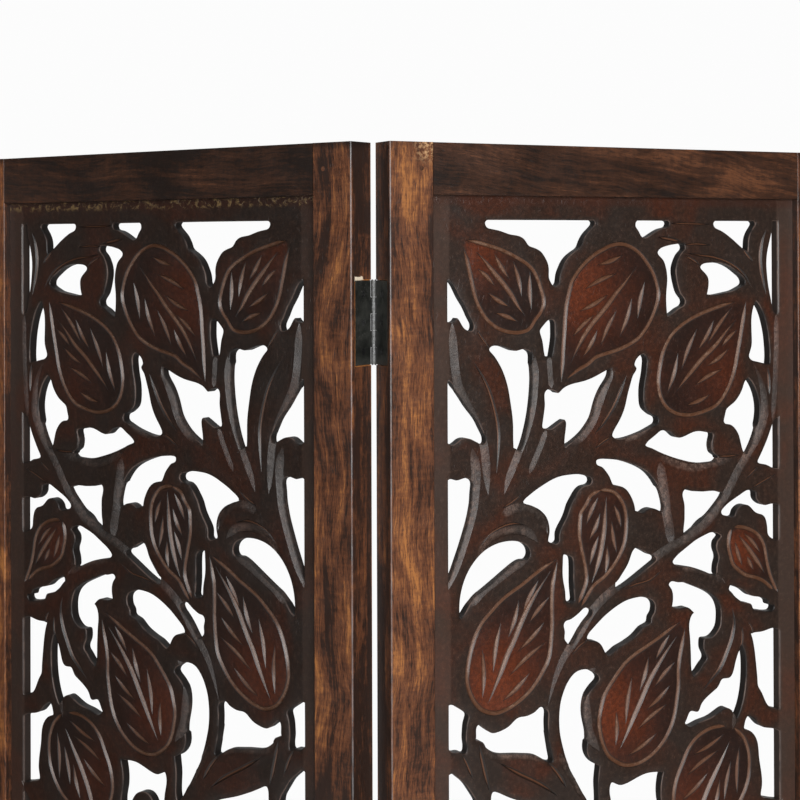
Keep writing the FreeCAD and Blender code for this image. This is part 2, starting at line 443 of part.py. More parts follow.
class HingeSide:
    """One edge of a leaf that carries hinges."""

    def __init__(self, on_right, pin_behind, odd_knuckles):
        self.on_right = on_right
        self.pin_behind = pin_behind
        self.odd_knuckles = odd_knuckles
        self.edge_x = leaf_width if on_right else 0.0
        self.inward = -1 if on_right else 1
        self.pin_x = self.edge_x - self.inward * edge_gap
        self.face_y = frame_thickness if pin_behind else 0.0
        self.away = 1 if pin_behind else -1
        self.pin_y = self.face_y + self.away * pin_stand_off
        self.plate_x0 = self.edge_x + self.inward * plate_sink
        self.plate_x1 = self.edge_x + self.inward * mortise_depth

    def knuckle_spans(self, z, odd):
        """Heights of the odd or the even knuckles of a hinge at height z."""
        first = 0 if odd else 1
        spans = []
        for i in range(first, knuckle_count, 2):
            low = z + knuckle_length * i + (knuckle_gap / 2 if i > 0 else 0)
            high = z + knuckle_length * (i + 1) - (knuckle_gap / 2 if i < knuckle_count - 1 else 0)
            spans.append((low, high))
        return spans

    def plate(self, z):
        """A hinge leaf with its knuckles, its notches and its countersunk holes."""
        far_y = self.face_y - self.away * plate_width
        sheet = box(self.plate_x0, self.plate_x1, self.face_y, far_y, z, z + hinge_length)
        pieces = [sheet]
        axis = FreeCAD.Vector(0, 0, 1)
        for low, high in self.knuckle_spans(z, self.odd_knuckles):
            centre = FreeCAD.Vector(self.pin_x, self.pin_y, low)
            pieces.append(rod(barrel_radius, high - low, centre, axis))
            pieces.append(box(self.plate_x0, self.plate_x1, self.face_y, self.pin_y, low, high))
        shape = fused(pieces)
        foot = FreeCAD.Vector(self.pin_x, self.pin_y, z - overrun)
        cuts = [rod(bore_radius, hinge_length + 2 * overrun, foot, axis)]
        notch_y = self.face_y - self.away * knuckle_notch
        for low, high in self.knuckle_spans(z, not self.odd_knuckles):
            low = low - knuckle_gap
            high = high + knuckle_gap
            x0 = self.edge_x - self.inward * overrun
            x1 = self.edge_x + self.inward * overrun
            far = self.face_y + self.away * overrun
            cuts.append(box(x0, x1, notch_y, far, low, high))
        cuts = cuts + [self.screw_hole(place) for place in self.screw_places(z)]
        return shape.cut(cuts)

    def screw_places(self, z):
        """Centres of the screw heads on the plate's outer face."""
        y = self.face_y - self.away * plate_width / 2
        middle = z + hinge_length / 2
        first = middle - screw_pitch * (screws_per_plate - 1) / 2
        return [FreeCAD.Vector(self.plate_x0, y, first + screw_pitch * i) for i in range(screws_per_plate)]

    def screw_hole(self, place):
        """The countersunk hole through the plate and the pilot hole behind it."""
        inward = FreeCAD.Vector(self.inward, 0, 0)
        sink = Part.makeCone(screw_head_radius + screw_gap, screw_radius + screw_gap,
                             plate_thickness, place, inward)
        mouth = rod(screw_head_radius + screw_gap, overrun, place - inward * overrun, inward)
        pilot = rod(screw_radius + screw_gap, screw_length + screw_gap, place, inward)
        return fused([mouth, sink, pilot])

    def screw(self, place):
        """A countersunk screw with a cross slot."""
        inward = FreeCAD.Vector(self.inward, 0, 0)
        head = Part.makeCone(screw_head_radius, screw_radius, plate_thickness, place, inward)
        shank = rod(screw_radius, screw_length - screw_tip, place, inward)
        tip_at = place + inward * (screw_length - screw_tip)
        tip = Part.makeCone(screw_radius, 0, screw_tip, tip_at, inward)
        half = screw_slot_length / 2
        wide = screw_slot_width / 2
        x0 = place.x - self.inward * overrun
        x1 = place.x + self.inward * screw_slot_depth
        level = box(x0, x1, place.y - half, place.y + half, place.z - wide, place.z + wide)
        upright = box(x0, x1, place.y - wide, place.y + wide, place.z - half, place.z + half)
        return fused([head, shank, tip]).cut([level, upright])

    def pin(self, z):
        """The hinge pin with a button at each end."""
        axis = FreeCAD.Vector(0, 0, 1)
        foot = FreeCAD.Vector(self.pin_x, self.pin_y, z)
        stem = rod(pin_radius, hinge_length, foot, axis)
        low = rod(pin_head_radius, pin_head_height, foot - axis * pin_head_height, axis)
        high = rod(pin_head_radius, pin_head_height, foot + axis * hinge_length, axis)
        return fused([low, stem, high])

    def mortises(self):
        """Recesses for the plates and pilot holes for their screws."""
        cuts = []
        far_y = self.face_y - self.away * (plate_width + mortise_gap)
        out_y = self.face_y + self.away * overrun
        out_x = self.edge_x - self.inward * overrun
        for z in hinge_levels:
            cuts.append(box(out_x, self.plate_x1, out_y, far_y,
                            z - mortise_gap, z + hinge_length + mortise_gap))
            cuts = cuts + [self.screw_hole(place) for place in self.screw_places(z)]
        return cuts


def stile(on_right, hinge_side):
    """A full-height stile with its mortises, grooves and hinge recesses."""
    x0, x1 = (inner_right, leaf_width) if on_right else (0.0, stile_width)
    shape = timber(x0, x1, 0, frame_thickness, 0, leaf_height, False)
    inner = inner_right if on_right else inner_left
    outward = 1 if on_right else -1
    cuts = brad_holes()
    for level in rail_levels.values():
        cuts.append(box(inner - outward * overrun, inner + outward * (tenon_length + tenon_gap),
                        tenon_front, tenon_back, level + tenon_shoulder,
                        level + rail_height - tenon_shoulder))
    for level in board_levels.values():
        cuts.append(box(inner - outward * overrun, inner + outward * groove_depth,
                        board_front, board_back, level - groove_depth,
                        level + opening_height + groove_depth))
    if hinge_side is not None:
        cuts = cuts + hinge_side.mortises()
    return shape.cut(cuts)


def placement(anchor, pin_point, degrees):
    """Turn a leaf by an angle and bring its anchor point onto a pin."""
    turn = FreeCAD.Rotation(FreeCAD.Vector(0, 0, 1), degrees)
    move = pin_point - turn.multVec(anchor)
    return FreeCAD.Placement(move, turn)


# Folds 1, 2 and 3 lie between the leaves. Fold 2 has its pins behind, the others in front.
fold_behind = [(i + 1) % 2 == 0 for i in range(leaf_count - 1)]
leaf_degrees = [fold_degrees if i % 2 == 0 else -fold_degrees for i in range(leaf_count)]
left_sides = [None] + [HingeSide(False, behind, True) for behind in fold_behind]
right_sides = [HingeSide(True, behind, False) for behind in fold_behind] + [None]


def pin_anchor(side):
    """The pin's place in the leaf's own frame."""
    return FreeCAD.Vector(side.pin_x, side.pin_y, 0)


# The second fold stands at X zero, and the leaves go on from it to both sides.
middle = leaf_count // 2
placements = [None] * leaf_count
pin_point = FreeCAD.Vector(0, 0, 0)
for i in range(middle, leaf_count):
    placements[i] = placement(pin_anchor(left_sides[i]), pin_point, leaf_degrees[i])
    if right_sides[i] is not None:
        pin_point = placements[i].multVec(pin_anchor(right_sides[i]))
pin_point = FreeCAD.Vector(0, 0, 0)
for i in range(middle - 1, -1, -1):
    placements[i] = placement(pin_anchor(right_sides[i]), pin_point, leaf_degrees[i])
    if left_sides[i] is not None:
        pin_point = placements[i].multVec(pin_anchor(left_sides[i]))


def placed(shape, place):
    """A copy of the shape with the placement worked into its geometry."""
    return shape.transformed(place.toMatrix(), True)


nodes = {}
boards = {}
for mirrored in (False, True):
    for name, level in board_levels.items():
        boards[(name, mirrored)] = board(level, mirrored)
rails = {name: rail(level) for name, level in rail_levels.items()}
nails = brads()
for i in range(leaf_count):
    place = placements[i]
    leaf = "leaf_%d" % (i + 1)
    nodes[leaf + "_left_stile"] = placed(stile(False, left_sides[i]), place)
    nodes[leaf + "_right_stile"] = placed(stile(True, right_sides[i]), place)
    for name, shape in rails.items():
        nodes[leaf + "_" + name] = placed(shape, place)
    for name in board_levels:
        nodes[leaf + "_" + name] = placed(boards[(name, i % 2 == 1)], place)
    nodes[leaf + "_brads"] = placed(nails, place)

for i in range(leaf_count - 1):
    fold = "fold_%d" % (i + 1)
    near = right_sides[i]
    far = left_sides[i + 1]
    near_place = placements[i]
    far_place = placements[i + 1]
    near_plates = [near.plate(z) for z in hinge_levels]
    far_plates = [far.plate(z) for z in hinge_levels]
    near_screws = [near.screw(p) for z in hinge_levels for p in near.screw_places(z)]
    far_screws = [far.screw(p) for z in hinge_levels for p in far.screw_places(z)]
    pins = [far.pin(z) for z in hinge_levels]
    nodes[fold + "_left_plates"] = placed(Part.makeCompound(near_plates), near_place)
    nodes[fold + "_right_plates"] = placed(Part.makeCompound(far_plates), far_place)
    nodes[fold + "_left_screws"] = placed(Part.makeCompound(near_screws), near_place)
    nodes[fold + "_right_screws"] = placed(Part.makeCompound(far_screws), far_place)
    nodes[fold + "_pins"] = placed(Part.makeCompound(pins), far_place)

# Stand the screen with the middle of its footprint over the origin
bounds = Part.makeCompound(list(nodes.values())).BoundBox
shift = FreeCAD.Matrix()
shift.move(FreeCAD.Vector(-(bounds.XMin + bounds.XMax) / 2, -(bounds.YMin + bounds.YMax) / 2, 0))

os.makedirs("parts", exist_ok=True)
for name, shape in nodes.items():
    solid = shape.transformed(shift, True)
    solid.exportStep("parts/%s.step" % name)
    print(name, len(solid.Solids), round(solid.Volume), solid.isValid())
for i in range(leaf_count - 1):
    pin = placements[i + 1].multVec(pin_anchor(left_sides[i + 1]))
    print("pin", i + 1, shift.multVec(pin))
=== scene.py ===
"""A folding screen of four leaves with pierced leaf-and-vine boards, dressed for rendering."""

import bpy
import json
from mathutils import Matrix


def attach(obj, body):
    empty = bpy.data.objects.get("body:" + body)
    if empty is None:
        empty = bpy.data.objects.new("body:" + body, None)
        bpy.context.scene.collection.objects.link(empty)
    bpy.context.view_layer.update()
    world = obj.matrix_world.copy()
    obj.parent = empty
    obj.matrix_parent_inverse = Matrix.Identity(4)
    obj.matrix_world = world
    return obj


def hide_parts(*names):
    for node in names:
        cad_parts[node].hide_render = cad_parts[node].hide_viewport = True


bl_info = {
    "name": "Carved jali screen",
    "version": (1, 0, 0),
    "blender": (4, 5, 0),
    "location": "3D View > Sidebar > Screen",
    "description": "Carves the boards, stains the timber and blackens the hinges of a folding screen",
    "category": "Object",
}

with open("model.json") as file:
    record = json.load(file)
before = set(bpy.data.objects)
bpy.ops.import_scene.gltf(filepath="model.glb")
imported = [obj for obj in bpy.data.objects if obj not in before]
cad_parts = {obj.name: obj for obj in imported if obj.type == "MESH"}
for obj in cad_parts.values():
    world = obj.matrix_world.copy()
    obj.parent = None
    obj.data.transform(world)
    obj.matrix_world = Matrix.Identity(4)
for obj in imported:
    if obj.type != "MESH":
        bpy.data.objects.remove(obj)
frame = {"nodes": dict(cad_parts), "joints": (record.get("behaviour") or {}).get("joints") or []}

import json
import math

import bpy
import numpy as np
from mathutils import Matrix, Vector, kdtree, noise
from mathutils.geometry import delaunay_2d_cdt

MM = 0.001

# The screen's own sizes, in millimetres, as the timber was cut
LEAF_WIDTH = 508.0
LEAF_HEIGHT = 1829.0
FRAME_THICKNESS = 30.0
STILE_WIDTH = 44.0
RAIL_HEIGHT = 47.7
FOOT_HEIGHT = 60.0
BOARD_FRONT = 8.5
BOARD_BACK = 19.5
BORDER_HEIGHT = 22.3
EDGE_GAP = 0.4
PIN_STAND_OFF = 3.0
HINGE_INSET = 125.0
HINGE_LENGTH = 76.2
PLATE_WIDTH = 24.0
FOLD_ANGLE = math.radians(31.14)

OPENING_HEIGHT = (LEAF_HEIGHT - FOOT_HEIGHT - 3 * RAIL_HEIGHT) / 2
CARVED_HEIGHT = OPENING_HEIGHT - 2 * BORDER_HEIGHT
LOWER_BOARD_Z = FOOT_HEIGHT + RAIL_HEIGHT
UPPER_BOARD_Z = LOWER_BOARD_Z + OPENING_HEIGHT + RAIL_HEIGHT
BOARD_LEVELS = {"lower_board": LOWER_BOARD_Z, "upper_board": UPPER_BOARD_Z}

# The carving is drawn on a grid of squares, a millimetre each, that runs down from the field's top.
FIELD_TOP = 70.0
FIELD_BOTTOM = 838.0
FIELD_LEFT = 63.0
FIELD_RIGHT = 445.0
FIELD_HEIGHT = FIELD_BOTTOM - FIELD_TOP

# How close the points of the boards' meshes stand, in millimetres
RIM_STEP = 12.0
LIP_ROWS = (0.55, 1.5)
LINE_STEP = 2.3
LIP_CLEARANCE = 0.5
GRID_CLEARANCE = 2.2
COARSE_GAP = 13.0

# Form of the carving, in millimetres: reach of a slope's step, width of the shallow valley beside a
# ring, fall of the plain border at its edges, unevenness of the faces, and the greatest depth
STEP_REACH = 0.8
VALLEY_WIDTH = 8.0
BORDER_FALL_WIDTH = 2.5
BORDER_FALL = 0.5
WAVE_HEIGHT = 0.22
WAVE_LENGTH = 17.0
DEEPEST = 4.4

# Openings turn a corner where they turn more than this, and faces that meet at less than the other
# angle are shaded smooth
CORNER_ANGLE = math.radians(50)
SMOOTH_ANGLE = math.radians(16)

# How far in from its ring a leaf's colour is full, and the rows between which the rubbed strip along
# a board's top fades in and out
LEAF_FADE = 11.0
STRIP_ROWS = (47.8, 48.5, 53.5, 59.0)

# Wear and painted highlight, in millimetres: width of a rubbed arris with its painted highlight, reach of
# the chips round a hinge plate and how far it varies, how deep into the edge they go, and the radius of a
# hinge barrel's rubbed part, which is partly a painted highlight
ARRIS_WIDTH = 1.5
CHIP_REACH = 1.7
CHIP_VARIATION = 1.2
CHIP_DEPTH = (1.8, 2.2)
BARREL_RADIUS = (2.5, 2.9)

# The floor's radius and how far it lies below the feet, in metres
FLOOR_RADIUS = 3.0
FLOOR_DROP = 0.0005

# Leaves drawn in the carving: the cut line round each, its midrib and its side veins, the place where
# its colour glows and how strongly, and whether the leaf is repeated, turned, at the other end
LEAVES = [
    {"end": True, "hot": (88, 100, 0.7),
     "rings": [[(81, 88.5), (94, 90.6), (106.5, 93.8), (119, 97.5), (129, 101.5), (139, 106.3),
        (147.8, 111.3), (154.6, 117.5), (159.6, 126.3), (162.8, 135), (165, 142.5), (165.3, 150),
        (162, 157.5), (156.5, 163.8), (150.3, 171.9), (144, 174.4), (136.5, 175.3), (127.8, 174.4),
        (119, 171.9), (111.5, 168), (104, 162), (97.8, 153.8), (93.4, 145), (90.3, 136.3), (87.8, 126.3),
        (85.3, 116.3), (82.8, 106.3), (79.5, 96)]],
     "midrib": [(92, 98.8), (101.5, 108), (111.5, 118.8), (121.5, 129.4), (130.3, 140), (137.8, 151.3),
        (145.9, 161)],
     "veins": [(112, 101.3, 128, 125.3), (132, 108, 141.3, 142), (150.3, 118, 151.8, 154.4),
        (94, 115, 112.5, 131.5), (104.6, 137.3, 129, 151.5), (112, 156, 137.8, 165.6)]},
    {"end": True, "hot": (205, 135, 0.8),
     "rings": [[(184.5, 224), (186, 206), (187, 190), (188.5, 172), (190.5, 152), (194, 138), (198, 127),
        (209.6, 113), (222.8, 103), (234, 97.5), (241.5, 94.4), (251.5, 92.8), (259, 93.5), (267.8, 96.9),
        (276.5, 103), (284, 111.3), (290.3, 120), (294.6, 130), (296.9, 140), (296.3, 147.5),
        (292.8, 157.5), (287.8, 167.5), (281.5, 176.3), (274, 183.8), (265.3, 188.8), (255.3, 193),
        (244, 196.3), (232.8, 198.8), (224, 201.3), (215.3, 207.3), (204, 212.5), (195.3, 218),
        (188, 223)]],
     "midrib": [(273, 113), (265.3, 121.3), (256.5, 131.3), (246.5, 141.3), (236.5, 152.5),
        (226.5, 162.5), (216.5, 172.5), (207.8, 183.8), (200.3, 196.3), (195, 206)],
     "veins": [(225.9, 113, 255.9, 103.5), (210.9, 136, 248.4, 121), (204.6, 156.9, 238.4, 141.3),
        (197, 181, 223, 160.3), (280.5, 129.4, 271.9, 166), (265.5, 145.3, 250.9, 183),
        (247.8, 156.5, 229, 190.6), (225.5, 175, 208.8, 201.3)]},
    {"end": True, "hot": (372, 232, 0.35),
     "rings": [[(404, 151), (401.7, 163), (398.3, 180), (393.3, 203), (388.3, 223), (380, 240),
        (368.3, 253), (351.7, 259.3), (331.7, 262), (313.3, 257.5), (301.7, 247), (296.7, 230),
        (298.3, 213), (303.3, 197), (313.3, 182), (330, 170), (350, 161.7), (373, 155), (391.7, 151)]],
     "midrib": [(393, 168), (380, 180), (366, 194), (350, 206.5), (336, 219.5), (324, 231.5), (316, 240)],
     "veins": [(386, 157, 356, 193), (364, 168.5, 344, 199), (343, 177, 324, 217), (320, 200, 307, 240),
        (393, 179, 373, 196), (383, 197.5, 355, 214.5), (375, 217.5, 340, 233),
        (359.6, 242.5, 329.6, 252.5)]},
    {"end": False, "hot": (228, 350, 0.1),
     "rings": [[(230, 328.5), (218, 333), (212, 342), (205.9, 350), (204.6, 361), (204.6, 370),
        (206.5, 381), (209.6, 393.8), (212, 405), (211.8, 415), (207.8, 425), (202.8, 435.6)],
        [(226, 328.6), (238, 329.6), (246, 333), (254, 342.5), (257.8, 353.8), (257.8, 367.5),
        (255.9, 380), (252, 390), (245.3, 400), (234, 411.3), (221.5, 418.8), (214, 427.5),
        (205.6, 439)]],
     "midrib": [(235, 333.8), (234, 346.3), (232.8, 361.3), (230.9, 375), (227.8, 390), (222.8, 405),
        (217.8, 417)],
     "veins": [(225.5, 335, 211.8, 360.6), (227.8, 350.6, 215, 376.3), (225.9, 372, 215.9, 399.4),
        (243.4, 343, 252, 366.3), (240.9, 358.8, 246.5, 390.6), (235.9, 382.5, 233.4, 410)]},
    {"end": False, "hot": (108, 502, 1.0),
     "rings": [[(180, 390), (164, 397.5), (154, 403), (141.5, 410.6), (129, 417), (119, 423),
        (109, 431.3), (97.8, 442), (90.3, 453.8), (84.6, 470), (82, 483.8), (82, 495), (85.3, 506),
        (91.5, 516.3), (99, 523), (111.5, 527), (121.5, 525.6), (131.5, 522), (144, 515), (154, 506.3),
        (162.8, 495), (169, 483.8), (171.5, 472.5), (173.4, 450), (173.4, 430), (174, 415),
        (176.5, 403.8), (179.6, 391.3)]],
     "midrib": [(172.8, 400), (164, 410), (154, 422.5), (144, 437.5), (136.5, 451.3), (130.3, 463.8),
        (124, 475), (116.5, 491.3), (109, 506.3), (103.4, 517)],
     "veins": [(158.4, 408, 141, 438), (137, 424.4, 125.3, 458.8), (117.5, 443, 109, 489),
        (97.5, 465, 97.8, 511), (170.3, 425, 147.8, 447.5), (164.6, 448, 136.5, 472),
        (166, 467, 126, 494), (148.4, 494, 118.4, 517)]},
    {"end": False, "hot": (238, 545, 0.9),
     "rings": [[(327, 471), (324, 485), (321, 497.5), (319, 511), (319, 525), (317, 540), (314.6, 552.5),
        (311, 563.8), (305.3, 573.8), (296.5, 583.8), (286.5, 591), (275.3, 595.6), (264, 597),
        (254, 595.6), (245.3, 591), (236.5, 583.8), (230.3, 572.5), (227, 560), (226, 547.5),
        (227.8, 537.5), (231.5, 526.3), (237.8, 517.5), (246.5, 507.5), (256.5, 497.5), (269, 490),
        (282.8, 483.8), (296.5, 477.5), (309, 471), (322, 464.5)]],
     "midrib": [(317.8, 477.5), (304, 492.5), (292.8, 506), (282.8, 520), (274, 536), (265.3, 551),
        (257.8, 565), (249, 580.6)],
     "veins": [(308.4, 476, 291.5, 499), (283.4, 494, 272.5, 527), (263.6, 512, 256, 557),
        (245.3, 542.5, 244.6, 575.6), (314.6, 503, 290.3, 525), (308.4, 525.6, 280.3, 546.3),
        (305.3, 543, 269.6, 563.8), (292.8, 570, 258.4, 587.5)]},
    {"end": False, "hot": (391, 402, 0.9),
     "rings": [[(385, 378), (382, 385), (381, 395), (383.4, 405), (386.5, 413.8), (394, 421), (404, 427),
        (416.5, 430.6), (426.5, 435.5), (438, 445)],
        [(388, 377), (399, 378), (411.5, 382.5), (420.3, 389), (426.5, 400), (429.6, 415), (434, 430),
        (442.8, 447.5)]],
     "midrib": [(393, 385), (403, 397), (413, 409), (420, 418), (426, 427)],
     "veins": [(389, 392, 398, 417), (400, 384, 421, 406), (404, 407.5, 412, 422)]},
    {"end": False, "hot": (330, 640, 0.5),
     "rings": [[(378, 575), (365, 574), (354, 575.6), (341.5, 581), (331.5, 590), (323.8, 603),
        (315, 622), (312.5, 640), (316, 654), (325, 666), (333, 679), (338, 692)],
        [(386, 577), (393, 583), (400, 591), (405.6, 607), (405, 628), (399, 644), (389, 658), (376, 668),
        (360, 678), (348, 686), (338, 693)]],
     "midrib": [(381, 591), (371, 607), (361, 622), (352, 637), (345, 652), (340, 668), (338, 682)],
     "veins": [(382.6, 610, 374, 648), (369, 626, 359, 660), (393, 597, 390, 645), (375, 582, 336, 598),
        (368, 597, 328, 617), (354, 618, 322, 641)]},
]

# Creases and slits outside the leaves: width, whether repeated, turned, at the other end, and points
SLITS = [
    (4.2, False, [(88.4, 199.4), (99, 215), (106.5, 230), (112, 247.5), (115.3, 265), (115.3, 280),
        (113.4, 306)]),
    (4.6, False, [(259, 220), (252, 234), (244, 249), (231.5, 265), (221.5, 275)]),
    (3.0, False, [(222, 288.5), (232, 282), (243, 277.5)]),
    (4.6, False, [(113.5, 572), (137, 586.5), (154, 596), (166.5, 604), (180, 614.5)]),
    (4.2, False, [(168, 580), (180, 594), (189, 608)]),
    (4.4, False, [(94, 553), (97, 568), (101, 584), (105, 598)]),
    (3.4, False, [(76, 559), (82, 571), (87.5, 584)]),
    (5.2, False, [(385, 456), (387.3, 472.5), (384, 487.5), (378, 501), (370, 515), (360, 525),
        (348, 536)]),
    (3.0, False, [(397.5, 478), (397.5, 490), (396.5, 501)]),
    (4.6, True, [(430.5, 78), (425, 90), (422.5, 104), (423, 117), (426, 131), (430, 145)]),
    (4.0, True, [(431.5, 218), (432.6, 230), (433.4, 246)]),
    (4.4, True, [(296, 86), (310, 88), (326, 91)]),
    (2.8, True, [(326, 94), (344, 93), (362, 94.5)]),
    (2.8, True, [(328, 104), (339, 109), (347, 114)]),
    (3.6, True, [(326, 101), (346, 104), (366, 106.5), (386, 113), (402, 124), (412, 138)]),
    (3.8, True, [(400.5, 97), (406, 104), (413, 111)]),
    (2.6, True, [(309, 72.5), (335, 73), (362, 73.5)]),
    (2.6, False, [(195, 483), (204, 475), (214, 470)]),
    (3.2, False, [(119, 338), (130, 333), (141, 326)]),
    (3.2, False, [(97, 371), (106, 361.5), (118, 355.5), (132, 353), (147, 356)]),
    (2.8, False, [(366, 304.5), (380, 305.5), (396, 305)]),
    (2.8, False, [(408, 341), (424, 334), (442, 327)]),
    (2.8, False, [(404, 329), (411, 323.5), (418, 319)]),
    (2.4, True, [(92, 170), (99, 180), (107, 190)]),
    (3.0, False, [(300, 412), (285, 420), (268, 423), (252, 427)]),
    (2.6, False, [(405, 474), (409, 480), (411, 486)]),
]

# Sloping faces along the stems: width, which side lies low (1 is the left side on the way down), whether
# repeated, turned, at the other end, and points
SLOPES = [
    (8.0, 1, False, [(67.5, 164), (69.5, 195), (73, 219), (82, 238), (92, 256), (100, 276), (103, 300),
        (104.6, 325)]),
    (7.0, 1, False, [(156, 198), (156, 222), (152.5, 248), (146, 269), (137, 289), (128, 308),
        (121.5, 325)]),
    (9.0, 1, False, [(88, 280), (92, 300), (91, 320), (88, 339), (82, 358), (76, 374), (69, 391),
        (62.5, 408)]),
    (5.0, 1, False, [(168, 268), (163, 280), (157, 292), (149, 308)]),
    (5.0, 1, True, [(171.5, 199), (172.5, 213), (174, 229)]),
    (5.5, 1, True, [(443, 164), (443, 200), (441, 235), (438, 276)]),
    (8.5, 1, False, [(414, 214), (423, 232), (427, 249), (427, 268), (420, 286), (408, 302), (394, 320),
        (379, 343), (364, 361), (349, 374), (324, 386), (309, 391), (290, 400), (271, 410.5), (254, 420),
        (239, 428), (226, 437), (216, 447), (206, 461), (194, 475), (184, 488), (176, 505), (168, 528)]),
    (11.0, 1, False, [(243, 212), (233, 229), (226, 245), (219, 261), (208, 274), (194, 285)]),
    (10.0, 1, False, [(298, 306), (301, 322), (304, 340), (306, 357), (309, 372), (312, 390)]),
    (6.0, 1, False, [(361, 280), (359.5, 290), (361, 303)]),
    (8.0, -1, False, [(97, 556), (108, 565), (124, 568), (142, 570), (156, 574), (168, 580)]),
    (6.0, 1, False, [(168, 528), (166, 541), (167, 556), (171, 574)]),
    (7.0, -1, False, [(179, 573), (189, 590), (199, 606), (210, 622)]),
    (6.0, 1, False, [(397, 494), (399, 512), (398, 530), (395, 546), (390, 562), (385, 580)]),
    (8.0, 1, False, [(92, 380), (101, 368), (114, 360.5), (130, 358.5), (147, 362), (158, 372)]),
    (8.0, -1, False, [(118, 345), (134, 339), (150, 341), (162, 351), (168, 366)]),
    (10.0, -1, False, [(83, 426), (97, 413), (115, 402), (133, 392), (148, 388)]),
    (9.0, 1, False, [(222, 498), (213, 507), (210, 522), (213, 546), (216, 562), (226, 578)]),
    (8.0, -1, False, [(255, 281), (268, 279), (282, 272), (296, 264)]),
    (8.0, -1, False, [(296, 301), (316, 309), (336, 315), (362, 312), (386, 309)]),
    (7.0, -1, False, [(322, 412), (342, 415), (358, 421), (376, 432)]),
]


# Places of the leaves

def leaf_placements():
    """Where each leaf's own frame stands in the screen, in millimetres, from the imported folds."""
    pins = {j["name"]: Vector(j["pos_m"]) / MM for j in frame["joints"]}
    left, right = -EDGE_GAP, LEAF_WIDTH + EDGE_GAP
    front, behind = -PIN_STAND_OFF, FRAME_THICKNESS + PIN_STAND_OFF
    rows = {
        "leaf_1": (FOLD_ANGLE, (right, front), "fold_1"),
        "leaf_2": (-FOLD_ANGLE, (right, behind), "fold_2"),
        "leaf_3": (FOLD_ANGLE, (left, behind), "fold_2"),
        "leaf_4": (-FOLD_ANGLE, (left, front), "fold_3"),
    }
    placements = {}
    for leaf, (angle, anchor, fold) in rows.items():
        turn = Matrix.Rotation(angle, 4, "Z")
        pin = Vector((pins[fold].x, pins[fold].y, 0))
        placements[leaf] = Matrix.Translation(pin) @ turn @ Matrix.Translation(-Vector((*anchor, 0)))
    return placements


PLACEMENTS = leaf_placements()
MIRRORED = ("leaf_2", "leaf_4")


# Points and lines on the grid

def point_tree(points):
    """A search tree of places on the grid."""
    tree = kdtree.KDTree(len(points))
    for i, point in enumerate(points):
        tree.insert((point[0], point[1], 0), i)
    tree.balance()
    return tree


def gap_to(tree, point):
    """Distance from a place to the nearest one in a tree."""
    return tree.find((point[0], point[1], 0))[2]


def near_loop(points, loop, margin):
    """Which points lie in a line's or loop's box, grown by a margin."""
    low, high = loop.min(0) - margin, loop.max(0) + margin
    return np.where(((points >= low) & (points <= high)).all(1))[0]


def inside(points, loop):
    """True for the points within a closed loop."""
    result = np.zeros(len(points), bool)
    near = near_loop(points, loop, 0)
    if not len(near):
        return result
    p = points[near]
    count = np.zeros(len(near), int)
    for (ax, ay), (bx, by) in zip(loop, np.roll(loop, -1, axis=0)):
        if ay != by:
            crosses = (ay > p[:, 1]) != (by > p[:, 1])
            x = ax + (p[:, 1] - ay) * (bx - ax) / (by - ay)
            count += crosses & (p[:, 0] < x)
    result[near] = count % 2 == 1
    return result


def turned(point):
    """The same place on the grid, turned half round about the middle of the field."""
    return (FIELD_LEFT + FIELD_RIGHT - point[0], FIELD_TOP + FIELD_BOTTOM - point[1])


def ways(at_end):
    """How a group is laid on the grid: as drawn, and at the end also turned half round."""
    return (tuple, turned) if at_end else (tuple,)


def smooth_line(points, step, closed=False, corner=None):
    """Points every few millimetres along a smooth line through given points."""
    pts = [np.array(p, float) for p in points]
    n = len(pts)
    out = []
    for i in range(n if closed else n - 1):
        a, b = pts[i], pts[(i + 1) % n]
        before = pts[i - 1] if (closed or i > 0) else 2 * a - b
        after = pts[(i + 2) % n] if (closed or i + 2 < n) else 2 * b - a
        if corner is not None and corner[i]:
            before = 2 * a - b
        if corner is not None and corner[(i + 1) % n]:
            after = 2 * b - a
        length = np.linalg.norm(b - a)
        if length < 1e-6:
            continue
        ta = (b - before) * length / (length + np.linalg.norm(a - before) + 1e-9)
        tb = (after - a) * length / (length + np.linalg.norm(after - b) + 1e-9)
        count = max(1, int(round(length / step)))
        for k in range(count):
            t = k / count
            out.append((2 * t**3 - 3 * t**2 + 1) * a + (t**3 - 2 * t**2 + t) * ta
                       + (3 * t**2 - 2 * t**3) * b + (t**3 - t**2) * tb)
    if not closed:
        out.append(pts[-1])
    return np.array(out)


def normals_of(steps):
    """Unit normals, to the left of steps along a line."""
    steps = steps / (np.linalg.norm(steps, axis=1)[:, None] + 1e-9)
    return np.stack([-steps[:, 1], steps[:, 0]], axis=1)


# The cuts of the carving

